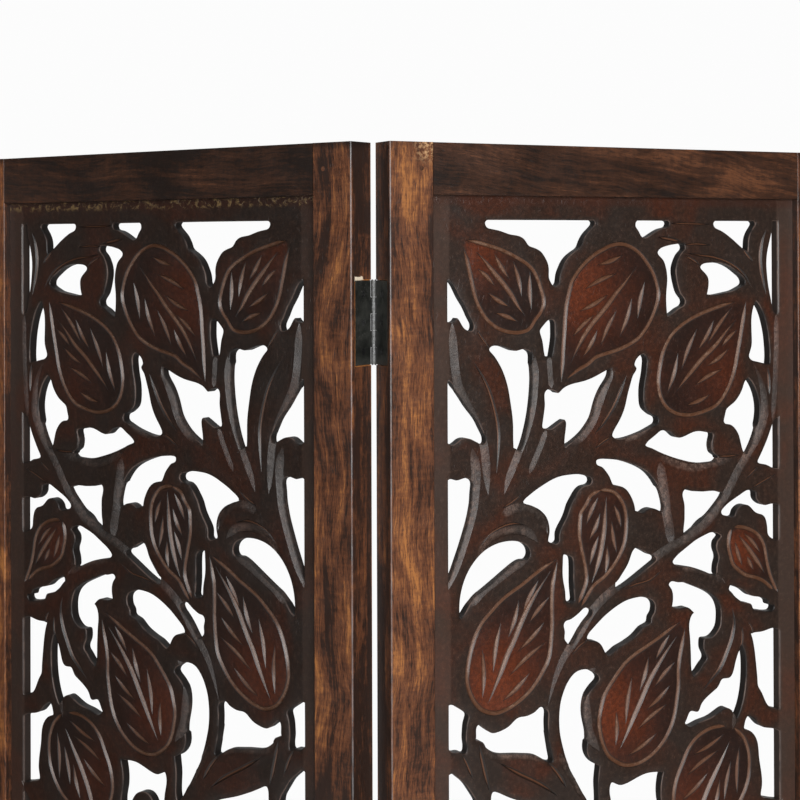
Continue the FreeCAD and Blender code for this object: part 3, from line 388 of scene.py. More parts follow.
class Cut:
    """One line of the carving: a V-shaped slit, or a slope with its step."""

    def __init__(self, points, width, depth, low_side=0, taper=(0.3, 0.3), valley=0.0, shine=1.0):
        self.line = smooth_line(points, LINE_STEP)
        legs = np.linalg.norm(np.diff(self.line, axis=0), axis=1)
        self.along = np.r_[0, np.cumsum(legs)]
        self.width, self.depth, self.low_side = width, depth, low_side
        self.taper, self.valley, self.shine = taper, valley, shine

    def share(self, along):
        """How full the cut is at a place along it: it narrows to nothing at both ends."""
        t = along / self.along[-1]
        full = np.ones_like(t)
        for end, amount in ((t, self.taper[0]), (1 - t, self.taper[1])):
            full = np.minimum(full, np.sin(np.clip(end / amount, 0, 1) * math.pi / 2))
        return full

    def sides(self):
        """Lines to cut the mesh along: the deepest line and the lips beside it."""
        normal = normals_of(np.gradient(self.line, axis=0))
        half = (self.width / 2 * self.share(self.along))[:, None]
        if self.low_side:
            low = normal * self.low_side
            return [self.line - low * half, self.line + low * half, self.line + low * (half + STEP_REACH)]
        return [self.line, self.line + normal * half, self.line - normal * half]

    def reach(self):
        """How far from its line the cut takes anything off."""
        return max(self.width / 2 + 1.0, VALLEY_WIDTH if self.valley else 0.0)

    def measure(self, points):
        """Distance from the line, the same with its side as a sign, and the place along the line."""
        best = np.full(len(points), 1e9)
        signed = np.zeros(len(points))
        place = np.zeros(len(points))
        for i in range(len(self.line) - 1):
            a, b = self.line[i], self.line[i + 1]
            d = b - a
            size = d @ d
            if size < 1e-9:
                continue
            rel = points - a
            t = np.clip(rel @ d / size, 0, 1)
            off = rel - t[:, None] * d
            dist = np.hypot(off[:, 0], off[:, 1])
            nearer = dist < best
            cross = d[0] * off[:, 1] - d[1] * off[:, 0]
            best[nearer] = dist[nearer]
            signed[nearer] = np.where(cross >= 0, dist, -dist)[nearer]
            place[nearer] = (self.along[i] + t * (self.along[i + 1] - self.along[i]))[nearer]
        return best, signed, place

    def carve(self, points):
        """Depth taken off at each point, and how much of the point lies in the cut."""
        best, signed, place = self.measure(points)
        full = self.share(place)
        half = np.maximum(self.width / 2 * full, 0.05)
        if self.low_side:
            s = signed * self.low_side
            slope = np.clip((s + half) / (2 * half), 0, 1)
            step = np.clip(1 - (s - half - 0.1) / 0.6, 0, 1)
            near = best < half + STEP_REACH
            depth = self.depth * full * np.where(s > half, step, slope) * near
            return depth, full * np.clip((s + half) / 2.5, 0, 1) * step * near
        fill = np.clip(1 - best / half, 0, 1)
        depth = self.depth * full * fill
        if self.valley:
            depth = depth + self.valley * full * np.clip(1 - best / VALLEY_WIDTH, 0, 1) ** 2
        return depth, fill * full * self.shine


def curved_vein(x0, y0, x1, y1, bow):
    """A side vein as a slightly bowed line."""
    mid = ((x0 + x1) / 2 + bow * (y1 - y0), (y0 + y1) / 2 - bow * (x1 - x0))
    return [(x0, y0), mid, (x1, y1)]


def carving_cuts(sizes):
    """Every slit and slope of one board: rings, midribs, veins, creases and stem slopes."""
    slits, slopes = [], []
    for leaf in LEAVES:
        for way in ways(leaf["end"]):
            for ring in leaf["rings"]:
                ring = [way(p) for p in ring]
                slits.append(Cut(ring, sizes.ring_width, sizes.ring_depth, taper=(0.06, 0.06), valley=0.55))
            rib = [way(p) for p in leaf["midrib"]]
            slits.append(Cut(rib, sizes.midrib_width, sizes.midrib_depth, taper=(0.45, 0.35)))
            for k, ends in enumerate(leaf["veins"]):
                vein = [way(p) for p in curved_vein(*ends, 0.035 if k % 2 else -0.03)]
                slits.append(Cut(vein, sizes.vein_width, sizes.vein_depth, taper=(0.5, 0.5)))
    for width, at_end, points in SLITS:
        for way in ways(at_end):
            crease = [way(p) for p in points]
            slits.append(Cut(crease, width, width * 0.42, taper=(0.35, 0.35), shine=0.4))
    for width, side, at_end, points in SLOPES:
        for way in ways(at_end):
            stem = [way(p) for p in points]
            slopes.append(Cut(stem, width, sizes.slope_fall * width, low_side=side, taper=(0.12, 0.18)))
    return slits, slopes


def ring_shapes():
    """Closed outlines of the leaves and the glowing place in each, for the colour inside them."""
    for leaf in LEAVES:
        x, y, heat = leaf["hot"]
        outline = leaf["rings"][0] + [p for ring in leaf["rings"][1:] for p in ring[::-1]]
        for way in ways(leaf["end"]):
            yield smooth_line([way(p) for p in outline], 2.5, closed=True), way((x, y)), heat


# The board's relief

def board_loops():
    """The outer edge and the openings of a plain board, on the grid, from its CAD piece."""
    mesh = frame["nodes"]["leaf_3_upper_board"].data
    flat = np.empty(len(mesh.vertices) * 3)
    mesh.vertices.foreach_get("co", flat)
    to_leaf = PLACEMENTS["leaf_3"].inverted()
    local = (flat.reshape(-1, 3) / MM) @ np.array(to_leaf.to_3x3()).T + np.array(to_leaf.translation)
    keys = {}
    index = np.array([keys.setdefault(tuple(np.round(p, 3)), len(keys)) for p in local])
    spots = np.array(list(keys))
    edges = {}
    for polygon in mesh.polygons:
        corners = [int(index[v]) for v in polygon.vertices]
        if all(abs(spots[c][1] - BOARD_FRONT) < 0.02 for c in corners):
            for side in zip(corners, corners[1:] + corners[:1]):
                edges[side] = True
    rim = {a: b for a, b in edges if (b, a) not in edges}
    z_top = UPPER_BOARD_Z + OPENING_HEIGHT - BORDER_HEIGHT
    loops = []
    while rim:
        start, b = rim.popitem()
        ring = [start, b]
        while ring[-1] != start:
            ring.append(rim.pop(ring[-1]))
        loops.append(np.array([
            (spots[i][0], FIELD_TOP + (z_top - spots[i][2]) * FIELD_HEIGHT / CARVED_HEIGHT)
            for i in ring[:-1]]))
    loops.sort(key=lambda loop: np.ptp(loop[:, 1]))
    return loops[-1], loops[:-1]


def rounded_loop(loop, step):
    """An opening's edge with its facets smoothed and its corners kept."""
    back = loop - np.roll(loop, 1, axis=0)
    on = np.roll(loop, -1, axis=0) - loop
    turn = np.abs(np.arctan2(back[:, 0] * on[:, 1] - back[:, 1] * on[:, 0], (back * on).sum(1)))
    return smooth_line(loop, step, closed=True, corner=turn > CORNER_ANGLE)


def divided(loop, step):
    """A straight-sided loop with points along its sides."""
    points = []
    for a, b in zip(loop, np.roll(loop, -1, axis=0)):
        count = max(1, int(np.linalg.norm(b - a) / step))
        points.extend(a + (b - a) * k / count for k in range(count))
    return points


class Relief:
    """The carved face of one board, drawn once on the grid and used for every board."""

    def __init__(self, sizes):
        outer, openings = board_loops()
        self.edges = [rounded_loop(loop, sizes.edge_step) for loop in openings]
        self.lips = point_tree(np.vstack(self.edges))
        self.slits, self.slopes = carving_cuts(sizes)
        self.points, self.constraints = [], []
        self.add_line(divided(outer, RIM_STEP), True)
        for loop in self.edges:
            self.add_line(loop, True)
        for loop in self.edges:
            for distance in LIP_ROWS:
                self.add_points(self.row_beside(loop, distance))
        lines = list(self.edges)
        for cut in self.slits + self.slopes:
            for line in cut.sides():
                for run in self.runs_in_wood(line):
                    self.add_line(run, False)
                    lines.append(np.array(run))
        self.fill_faces(outer, point_tree(np.vstack(lines)), sizes.grid_step)
        self.triangulate()
        self.edge_gap = np.array([gap_to(self.lips, p) for p in self.places])
        self.carve_depth(sizes)
        self.mark_leaves()

    def add_points(self, points):
        """Give places to the mesh."""
        self.points.extend(Vector((float(p[0]), float(p[1]))) for p in points)

    def add_line(self, line, closed):
        """Give the mesh a line that its triangles keep to."""
        first = len(self.points)
        self.add_points(line)
        last = len(self.points) - 1
        self.constraints.extend((i, i + 1) for i in range(first, last))
        if closed:
            self.constraints.append((last, first))

    def row_beside(self, loop, distance):
        """Points beside an opening's edge, in the wood, left out where the wood is too narrow."""
        normal = normals_of(np.roll(loop, -1, axis=0) - np.roll(loop, 1, axis=0))
        area = (loop[:, 0] * np.roll(loop[:, 1], -1) - np.roll(loop[:, 0], -1) * loop[:, 1]).sum()
        row = loop + (-normal if area > 0 else normal) * distance
        return [p for p in row if gap_to(self.lips, p) > distance * 0.93]

    def runs_in_wood(self, line):
        """The stretches of a line that lie in the wood, clear of the openings."""
        open_air = np.zeros(len(line), bool)
        for loop in self.edges:
            open_air |= inside(line, loop)
        runs = [[]]
        for p, hole in zip(line, open_air):
            if hole or gap_to(self.lips, p) < LIP_CLEARANCE:
                runs.append([])
            elif not runs[-1] or np.linalg.norm(runs[-1][-1] - p) > 0.25:
                runs[-1].append(p)
        return [run for run in runs if len(run) > 1]

    def fill_faces(self, outer, lines, fine):
        """Points in staggered rows between the lines, fewer where no opening is near."""
        low, high = outer.min(0), outer.max(0)
        row = 0
        y = low[1] + fine / 2
        while y < high[1]:
            x = low[0] + fine / 2 + (fine / 2 if row % 2 else 0)
            column = 0
            while x < high[0]:
                gap = gap_to(self.lips, (x, y))
                coarse = gap > COARSE_GAP and (row % 2 or column % 2)
                if not coarse and gap > GRID_CLEARANCE and gap_to(lines, (x, y)) > fine * 0.62:
                    self.points.append(Vector((x, y)))
                x += fine
                column += 1
            y += fine * 0.866
            row += 1

    def triangulate(self):
        """Join the places into triangles, leave out the openings and list the edges that stay open."""
        coords, _, triangles, _, _, _ = delaunay_2d_cdt(self.points, self.constraints, [], 0, 0.02, False)
        places = np.array([tuple(c) for c in coords])
        tris = np.array(triangles, int)
        middle = places[tris].mean(1)
        hole = np.zeros(len(tris), bool)
        for loop in self.edges:
            hole |= inside(middle, loop)
        tris = tris[~hole]
        a, b, c = (places[tris[:, k]] for k in range(3))
        area = (b - a)[:, 0] * (c - a)[:, 1] - (b - a)[:, 1] * (c - a)[:, 0]
        solid = np.abs(area) > 1e-5
        tris = tris[solid]
        clockwise = area[solid] < 0
        tris[~clockwise] = tris[~clockwise][:, [0, 2, 1]]
        used = np.unique(tris)
        renumber = -np.ones(len(places), int)
        renumber[used] = np.arange(len(used))
        self.places = places[used]
        self.tris = renumber[tris]
        sides = {(int(t[i]), int(t[j])) for t in self.tris for i, j in ((0, 1), (1, 2), (2, 0))}
        self.rim = sorted((a, b) for a, b in sides if (b, a) not in sides)

    def carve_depth(self, sizes):
        """Depth below the plain face at every point, and how much each point lies in a cut or a slope."""
        p, gap = self.places, self.edge_gap
        field = ((p[:, 0] > FIELD_LEFT - 1) & (p[:, 0] < FIELD_RIGHT + 1)
                 & (p[:, 1] > FIELD_TOP - 1) & (p[:, 1] < FIELD_BOTTOM + 1))
        width = np.where(field, sizes.pillow_width, BORDER_FALL_WIDTH)
        height = np.where(field, sizes.pillow_height, BORDER_FALL)
        depth = height * np.clip(1 - gap / width, 0, 1) ** 1.6
        inner = np.clip(1 - gap / sizes.edge_round, 0, 1)
        depth += sizes.edge_round * 0.8 * (1 - np.sqrt(1 - inner**2))
        self.cut, self.slope, carved = np.zeros((3, len(p)))
        for group, mask in ((self.slopes, self.slope), (self.slits, self.cut)):
            best = np.zeros(len(p))
            for cut in group:
                near = near_loop(p, cut.line, cut.reach())
                down, share = cut.carve(p[near])
                best[near] = np.maximum(best[near], down)
                mask[near] = np.maximum(mask[near], share)
            carved += best
        depth += np.where(field, carved, 0)
        waves = np.array([noise.noise(Vector((x / WAVE_LENGTH, y / WAVE_LENGTH, 3.1))) for x, y in p])
        depth += np.where(field, WAVE_HEIGHT * np.clip(gap / 6, 0, 1) * (waves + 0.5), 0)
        self.depth = np.clip(depth, 0, DEEPEST)

    def mark_leaves(self):
        """How far within a leaf each point lies, and how warm its colour glows there."""
        p = self.places
        self.leaf, self.ember = np.zeros((2, len(p)))
        for loop, (hot_x, hot_y), heat in ring_shapes():
            near = near_loop(p, loop, 4)
            within = near[inside(p[near], loop)]
            rings = point_tree(loop)
            from_ring = np.array([gap_to(rings, q) for q in p[within]])
            self.leaf[within] = np.clip(from_ring / LEAF_FADE, 0, 1)
            size = ((loop.max(0) + 4) - (loop.min(0) - 4)).mean()
            away = (p[within, 0] - hot_x) ** 2 + (p[within, 1] - hot_y) ** 2
            self.ember[within] = heat * np.exp(-away / (2 * (0.25 * size) ** 2))


def relief_mesh(name, relief, leaf, level, back_share):
    """One board's own mesh: a carved front, a carved back and the walls of the openings."""
    mirrored = leaf in MIRRORED
    u, v = relief.places[:, 0], relief.places[:, 1]
    z = level + OPENING_HEIGHT - BORDER_HEIGHT - (v - FIELD_TOP) * CARVED_HEIGHT / FIELD_HEIGHT
    x = LEAF_WIDTH - u if mirrored else u
    front = np.stack([x, BOARD_FRONT + relief.depth, z], axis=1)
    back = np.stack([x, BOARD_BACK - relief.depth * back_share, z], axis=1)
    place = PLACEMENTS[leaf]
    world = (np.vstack([front, back]) @ np.array(place.to_3x3()).T + np.array(place.translation)) * MM
    n = len(u)
    front_faces = relief.tris[:, ::-1] if mirrored else relief.tris
    back_faces = front_faces[:, ::-1] + n
    walls = [(a, b, b + n, a + n) if mirrored else (b, a, a + n, b + n) for a, b in relief.rim]
    mesh = bpy.data.meshes.new(name)
    mesh.from_pydata(world.tolist(), [], front_faces.tolist() + back_faces.tolist() + walls)
    marks = {"cut": relief.cut, "slope": relief.slope, "leafy": relief.leaf, "ember": relief.ember,
             "edge_gap": relief.edge_gap}
    for key, values in marks.items():
        layer = mesh.attributes.new(key, "FLOAT", "POINT")
        layer.data.foreach_set("value", np.tile(values, 2).astype(np.float32))
    through = BOARD_BACK - BOARD_FRONT
    along = np.vstack([np.stack([u, deep, v], axis=1) for deep in (relief.depth, through - relief.depth)])
    layer = mesh.attributes.new("board_place", "FLOAT_VECTOR", "POINT")
    layer.data.foreach_set("vector", (along * MM).astype(np.float32).ravel())
    mesh.validate()
    mesh.update()
    return mesh


# Laying out shaders

class Shader:
    """Lays out nodes in a material or a node group."""

    def __init__(self, tree):
        self.tree = tree

    def node(self, kind, inputs=None, **settings):
        made = self.tree.nodes.new(kind)
        for key, value in settings.items():
            setattr(made, key, value)
        for key, value in (inputs or {}).items():
            self.put(made.inputs[key], value)
        return made

    def put(self, socket, value):
        if isinstance(value, bpy.types.NodeSocket):
            self.tree.links.new(value, socket)
        elif isinstance(value, (tuple, list)) and len(value) == 3 and socket.type == "RGBA":
            socket.default_value = (*value, 1.0)
        else:
            socket.default_value = value

    def math(self, operation, a, b=0.0, c=0.0, clamp=False):
        made = self.node("ShaderNodeMath", {0: a, 1: b, 2: c}, operation=operation, use_clamp=clamp)
        return made.outputs[0]

    def times(self, *values):
        product = values[0]
        for value in values[1:]:
            product = self.math("MULTIPLY", product, value)
        return product

    def plus(self, *values):
        total = values[0]
        for value in values[1:]:
            total = self.math("ADD", total, value)
        return total

    def less(self, a, b):
        return self.math("SUBTRACT", a, b)

    def apart(self, a, b):
        return self.math("ABSOLUTE", self.less(a, b))

    def outside(self, value, low, high):
        """How far a coordinate lies outside a span, zero within it."""
        beyond = self.math("MAXIMUM", self.less(low, value), self.less(value, high))
        return self.math("MAXIMUM", beyond, 0.0)

    def step(self, value, low, high, to_low=0.0, to_high=1.0):
        ends = {"Value": value, "From Min": low, "From Max": high, "To Min": to_low, "To Max": to_high}
        return self.node("ShaderNodeMapRange", ends, interpolation_type="SMOOTHSTEP").outputs[0]

    def noise(self, vector, scale, detail=3.0, roughness=0.55, distortion=0.0):
        return self.node("ShaderNodeTexNoise", {
            "Vector": vector, "Scale": scale, "Detail": detail, "Roughness": roughness,
            "Distortion": distortion}).outputs["Fac"]

    def stretch(self, vector, scale, location=(0, 0, 0), rotation=(0, 0, 0)):
        return self.node("ShaderNodeMapping", {
            "Vector": vector, "Location": location, "Rotation": rotation, "Scale": scale}).outputs[0]

    def mix(self, share, a, b):
        made = self.node("ShaderNodeMix", data_type="RGBA", clamp_factor=True)
        for index, value in ((0, share), (6, a), (7, b)):
            self.put(made.inputs[index], value)
        return made.outputs[2]

    def split(self, vector):
        return self.node("ShaderNodeSeparateXYZ", {0: vector}).outputs

    def join(self, x, y, z):
        return self.node("ShaderNodeCombineXYZ", {0: x, 1: y, 2: z}).outputs[0]

    def object_place(self):
        return self.node("ShaderNodeTexCoord").outputs["Object"]

    def attribute(self, name):
        return self.node("ShaderNodeAttribute", attribute_name=name).outputs["Fac"]

    def group(self, name, inputs):
        return self.node("ShaderNodeGroup", inputs, node_tree=bpy.data.node_groups[name]).outputs


def new_group(name, inputs, outputs):
    """An empty node group with named sockets: its shader, its inputs and its outputs."""
    tree = bpy.data.node_groups.new(name, "ShaderNodeTree")
    for label, kind, default in inputs:
        socket = tree.interface.new_socket(label, in_out="INPUT", socket_type=kind)
        if default is not None:
            socket.default_value = default
    for label, kind in outputs:
        tree.interface.new_socket(label, in_out="OUTPUT", socket_type=kind)
    return Shader(tree), tree.nodes.new("NodeGroupInput").outputs, tree.nodes.new("NodeGroupOutput").inputs


FLOAT, COLOUR, VECTOR = "NodeSocketFloat", "NodeSocketColor", "NodeSocketVector"


def make_grain_group():
    """Timber grain that runs along Z: streaks, fibres, pores, blotches, cross ripples and height."""
    s, gin, gout = new_group(
        "Timber grain",
        [("Vector", VECTOR, None), ("Seed", FLOAT, 0.0), ("Tilt", FLOAT, 0.0)],
        [(label, FLOAT) for label in ("Streak", "Fibre", "Pore", "Blotch", "Ripple", "Height")])
    x, y, z = s.split(gin["Vector"])
    x = s.plus(x, s.times(z, gin["Tilt"]))
    drift = s.noise(s.join(gin["Seed"], y, z), 5.0, 2.0)
    x = s.plus(x, s.times(drift, 0.05))
    y = s.plus(y, gin["Seed"])
    place = s.join(x, y, z)
    broad = s.noise(s.stretch(place, (1, 1, 0.09)), 46.0, 3.0, 0.6, 0.5)
    narrow = s.noise(s.stretch(place, (1, 1, 0.05)), 190.0, 5.0, 0.78, 0.5)
    fibre = s.noise(s.stretch(place, (1, 0.7, 0.12)), 620.0, 4.0, 0.85, 0.4)
    pore = s.noise(s.stretch(place, (1, 1, 0.16), (3, 5, 1)), 780.0, 1.0, 0.5)
    pores = s.step(pore, 0.64, 0.74)
    s.put(gout["Streak"], s.plus(s.times(broad, 0.5), s.times(narrow, 0.5)))
    s.put(gout["Fibre"], s.step(fibre, 0.28, 0.72))
    s.put(gout["Pore"], pores)
    s.put(gout["Blotch"], s.noise(s.stretch(place, (1, 1, 0.40), (7, 1, 2)), 21.0, 3.0, 0.6, 1.2))
    s.put(gout["Ripple"], s.noise(s.stretch(place, (0.22, 0.22, 1), (1, 3, 5)), 260.0, 3.0, 0.6, 0.4))
    s.put(gout["Height"], s.less(s.plus(s.times(fibre, 0.6), s.times(narrow, 0.4)), s.times(pores, 0.5)))


def make_stain_group():
    """Dark stain rubbed over streaky timber: the colour and the roughness of the lacquer."""
    s, gin, gout = new_group(
        "Rubbed stain",
        [("Streak", FLOAT, 0.5), ("Fibre", FLOAT, 0.5), ("Pore", FLOAT, 0.0), ("Blotch", FLOAT, 0.5),
         ("Ripple", FLOAT, 0.5), ("Glow", FLOAT, 0.5), ("Contrast", FLOAT, 1.0),
         ("Dark", COLOUR, (0.01, 0.006, 0.004, 1)), ("Shade", COLOUR, (0.05, 0.02, 0.01, 1)),
         ("Brown", COLOUR, (0.1, 0.04, 0.02, 1)), ("Gold", COLOUR, (0.4, 0.17, 0.05, 1))],
        [("Colour", COLOUR), ("Roughness", FLOAT)])
    level = gin["Glow"]
    for label, amount in (("Streak", 3.8), ("Blotch", 2.0), ("Fibre", 0.6), ("Ripple", 0.6)):
        change = s.times(s.less(gin[label], 0.5), gin["Contrast"])
        level = s.math("MULTIPLY_ADD", change, amount, level)
    colour = s.mix(s.step(level, -0.10, 0.55), gin["Shade"], gin["Brown"])
    colour = s.mix(s.step(level, 0.45, 1.15), colour, gin["Gold"])
    colour = s.mix(s.step(gin["Fibre"], 0.0, 0.5, 0.3, 0.0), colour, gin["Dark"])
    colour = s.mix(s.times(gin["Pore"], 0.5), colour, gin["Dark"])
    s.put(gout["Colour"], colour)
    s.put(gout["Roughness"], s.plus(s.step(level, 0.0, 1.0, 0.33, 0.44), s.times(gin["Pore"], 0.15)))


def make_wear_group():
    """Wear along an edge, used for the painted highlight along the stiles' arrises: strongest at the edge,
    broken up by noise.
    """
    s, gin, gout = new_group(
        "Edge wear",
        [("Vector", VECTOR, None), ("Distance", FLOAT, 1.0), ("Width", FLOAT, 0.002),
         ("Patchiness", FLOAT, 0.5)],
        [("Mask", FLOAT)])
    near = s.math("SUBTRACT", 1.0, s.math("DIVIDE", gin["Distance"], gin["Width"]), clamp=True)
    patch = s.noise(s.stretch(gin["Vector"], (1, 1, 0.35)), 95.0, 4.0, 0.6)
    broken = s.math("MULTIPLY", s.less(patch, s.times(gin["Patchiness"], 0.62)), 4.0, clamp=True)
    s.put(gout["Mask"], s.times(near, broken))


def make_scuff_group():
    """Fine scuffs and dents in lacquer: a height, a patchy mask, a fine mottle and dark flecks."""
    s, gin, gout = new_group(
        "Lacquer scuffs", [("Vector", VECTOR, None), ("Size", FLOAT, 1.0)],
        [(label, FLOAT) for label in ("Height", "Patch", "Mottle", "Fleck")])
    scaled = s.node("ShaderNodeVectorMath", {0: gin["Vector"], "Scale": gin["Size"]}, operation="SCALE")
    place = scaled.outputs[0]
    fine = s.noise(place, 1000.0, 2.0, 0.6)
    mid = s.noise(place, 240.0, 3.0, 0.6)
    s.put(gout["Height"], s.plus(s.times(fine, 0.45), s.times(mid, 0.55)))
    s.put(gout["Patch"], s.noise(place, 34.0, 3.0, 0.6, 0.4))
    s.put(gout["Mottle"], s.plus(s.times(s.step(fine, 0.25, 0.75), 0.5),
                                 s.times(s.step(mid, 0.3, 0.7), 0.5)))
    s.put(gout["Fleck"], s.step(s.noise(place, 520.0, 2.0, 0.5), 0.66, 0.74))


# Materials

def new_material(name):
    """A material with its Principled shader and an output."""
    material = bpy.data.materials.new(name)
    material.use_nodes = True
    tree = material.node_tree
    tree.nodes.clear()
    output = tree.nodes.new("ShaderNodeOutputMaterial")
    principled = tree.nodes.new("ShaderNodeBsdfPrincipled")
    tree.links.new(principled.outputs[0], output.inputs[0])
    return material, Shader(tree), principled


def set_finish(s, principled, varying, bump, constants):
    """Give a Principled shader its varying inputs, its bump (strength, distance, height) and constants."""
    strength, distance, height = bump
    relief = s.node("ShaderNodeBump", {"Strength": strength, "Distance": distance, "Height": height})
    for key, value in {**varying, "Normal": relief.outputs[0], **constants}.items():
        s.put(principled.inputs[key], value)


def leaf_coordinates(s, leaf):
    """Object coordinates turned into the leaf's own frame, in metres."""
    place = PLACEMENTS[leaf].inverted()
    return s.stretch(s.object_place(), (1, 1, 1), tuple(place.translation * MM), (0, 0, place.to_euler().z))


def stile_arris_highlight_and_wear(s, local, scuffs, colour, look):
    """A stile's arrises with a painted highlight along them, partly wear, its darker top end and, where it
    has one, its worn corner.
    """
    x, y, z = s.split(local)
    to_face = s.math("MINIMUM", s.math("ABSOLUTE", y), s.apart(FRAME_THICKNESS * MM, y))
    gap = s.plus(s.apart(x, look["outer"]), to_face)
    # Painted highlight, partly wear: a cool grey line along the front arrises, broken up in patches
    wear = s.group("Edge wear", {
        "Vector": local, "Distance": gap, "Width": ARRIS_WIDTH * MM, "Patchiness": 0.5})
    colour = s.mix(s.times(wear["Mask"], look["wear"]), colour, look["glint"])
    height = s.plus(z, s.times(scuffs["Patch"], 8 * MM))
    end = s.step(height, (LEAF_HEIGHT - 6) * MM, (LEAF_HEIGHT + 4) * MM)
    colour = s.mix(s.times(end, look["end_dark"]), colour, look["dark"])
    if look["worn_top"] > 0:
        high_up = s.step(z, (LEAF_HEIGHT - 22) * MM, (LEAF_HEIGHT - 8) * MM)
        inward = s.step(x, (STILE_WIDTH - 24) * MM, (STILE_WIDTH - 6) * MM)
        speckle = s.step(s.noise(local, 260.0, 4.0, 0.7), 0.46, 0.58)
        colour = s.mix(s.times(high_up, inward, speckle, look["worn_top"]), colour, look["pale"])
    return colour


def hinge_chips(s, local, scuffs, colour, look):
    """Timber chipped bare round the hinge plate in a stile's edge, most of all above it."""
    x, y, z = s.split(local)
    low, high = look["hinge_span"]
    face = FRAME_THICKNESS * MM
    top = s.times(s.step(z, high - 1 * MM, high), s.step(y, face - 14 * MM, face - 11 * MM, 1.0, 0.0),
                  look["chips_top"])
    above = s.times(s.outside(z, low, high), s.step(top, 0.0, 1.0, 1.0, 0.3))
    beside = s.math("MAXIMUM", above, s.outside(y, face - PLATE_WIDTH * MM, face))
    reach = s.plus(CHIP_REACH * MM, s.times(scuffs["Height"], -CHIP_VARIATION * MM))
    shallow, deep = CHIP_DEPTH
    chipped = s.times(s.math("LESS_THAN", beside, reach),
                      s.step(s.apart(x, look["outer"]), shallow * MM, deep * MM, 1.0, 0.0))
    colour = s.mix(s.times(chipped, look["chips"]), colour, look["gold"])
    return s.mix(s.times(chipped, top), colour, look["chip"])


def timber_material(name, leaf, along, look):
    """Stained timber of a stile or rail, in the leaf's own frame, with painted shade on its narrow edge
    faces.
    """
    material, s, principled = new_material(name)
    local = leaf_coordinates(s, leaf)
    x, y, z = s.split(local)
    grain_place = s.join(z, y, x) if along == "x" else local
    grain = s.group("Timber grain", {"Vector": grain_place, "Seed": look["seed"], "Tilt": look["tilt"]})
    glow = look["glow"]
    for centre, reach, change in look["patches"]:
        glow = s.plus(glow, s.step(s.apart(z, centre), 0.0, reach, change, 0.0))
    # Painted shade: the narrow edge faces between the front and the back are made darker
    side = s.times(s.step(y, 1.2 * MM, 2.2 * MM),
                   s.step(y, (FRAME_THICKNESS - 2.2) * MM, (FRAME_THICKNESS - 1.2) * MM, 1.0, 0.0))
    glow = s.plus(glow, s.times(side, look["edge_face_shade"]))
    stain = s.group("Rubbed stain", {
        **{label: grain[label] for label in ("Streak", "Fibre", "Pore", "Blotch", "Ripple")},
        **{label: look[label.lower()] for label in ("Contrast", "Dark", "Shade", "Brown", "Gold")},
        "Glow": glow})
    scuffs = s.group("Lacquer scuffs", {"Vector": local, "Size": 1.0})
    colour = stain["Colour"]
    if along == "z":
        colour = stile_arris_highlight_and_wear(s, local, scuffs, colour, look)
    if "hinge_span" in look:
        colour = hinge_chips(s, local, scuffs, colour, look)
    set_finish(
        s, principled,
        {"Base Color": s.mix(s.times(scuffs["Fleck"], 0.35), colour, look["dark"]),
         "Roughness": s.plus(stain["Roughness"], s.times(s.less(scuffs["Patch"], 0.5), 0.2))},
        (0.35, 0.4 * MM, s.plus(s.times(grain["Height"], 0.8), s.times(scuffs["Height"], 0.4))),
        {"IOR": 1.43, "Coat Weight": 0.06, "Coat Roughness": 0.25})
    return material


def board_ground(s, shifted, broad, gap, look):
    """Colour of a board's plain ground: grey and brown stain with warmer patches clear of the openings."""
    ground = s.mix(s.step(broad, 0.34, 0.68), look["grey"], look["brown"])
    warmth = s.step(s.noise(shifted, 13.0, 2.0, 0.5, 0.8), 0.44, 0.70)
    warmth = s.times(s.step(gap, 1.5, 6.0), warmth)
    ground = s.mix(s.times(warmth, 0.62), ground, look["red"])
    return s.mix(s.times(warmth, look["ember_share"], 0.10), ground, look["ember"])


def leaf_face(s, streak, broad, look):
    """Colour of the leaf faces: near black to red, with a glow in each."""
    ember = s.attribute("ember")
    level = s.plus(s.times(broad, 0.8), s.times(streak, 0.3), s.times(ember, 0.35))
    face = s.mix(s.step(level, 0.54, 0.88), look["deep"], look["red"])
    return s.mix(s.times(ember, look["ember_share"]), face, look["ember"])


def lip_shade_and_highlight(s, place, scuffs, gap, colour, look):
    """Darker stain and painted shade on the openings' walls and lips, a painted highlight on their rubbed
    arrises, and the paler borders at the sides.
    """
    across, depth, _ = s.split(place)
    # Painted shade, partly thicker stain: the walls of the openings and the wood within 1.6 mm of them
    # darkened
    colour = s.mix(s.step(gap, 0.3, 1.6, 0.9, 0.0), colour, look["dark"])
    border = s.step(s.outside(across, (FIELD_LEFT + 3) * MM, (FIELD_RIGHT - 3) * MM), 0.0, 3 * MM)
    colour = s.mix(s.times(border, 0.14), colour, look["raw"])
    # Painted highlight, partly wear: a pale line along the front arris of each opening
    arris = s.times(s.step(gap, 0.3, 0.9, 1.0, 0.0), s.step(depth, 1.8 * MM, 2.4 * MM, 1.0, 0.0),
                    s.step(scuffs["Patch"], 0.40, 0.60))
    return s.mix(s.times(arris, 0.6), colour, look["raw"])


def slope_sheen_and_wear(s, slope, fibre, broad, scuffs, colour, look):
    """A painted grey sheen on the sloping faces, rubbed pinkish grey in patches."""
    grain = s.times(s.step(fibre, 0.1, 0.9, 0.4, 1.0), s.step(scuffs["Mottle"], 0.25, 0.75, 0.2, 1.0))
    worn = s.step(s.plus(s.times(broad, 0.5), s.times(scuffs["Patch"], 0.5)), 0.42, 0.58)
    # Painted sheen: the grey of the slopes stands in for the light they reflect
    fall = s.mix(worn, look["slope"], look["raw"])
    return s.mix(s.times(slope, grain, look["slope_share"]), colour, fall)


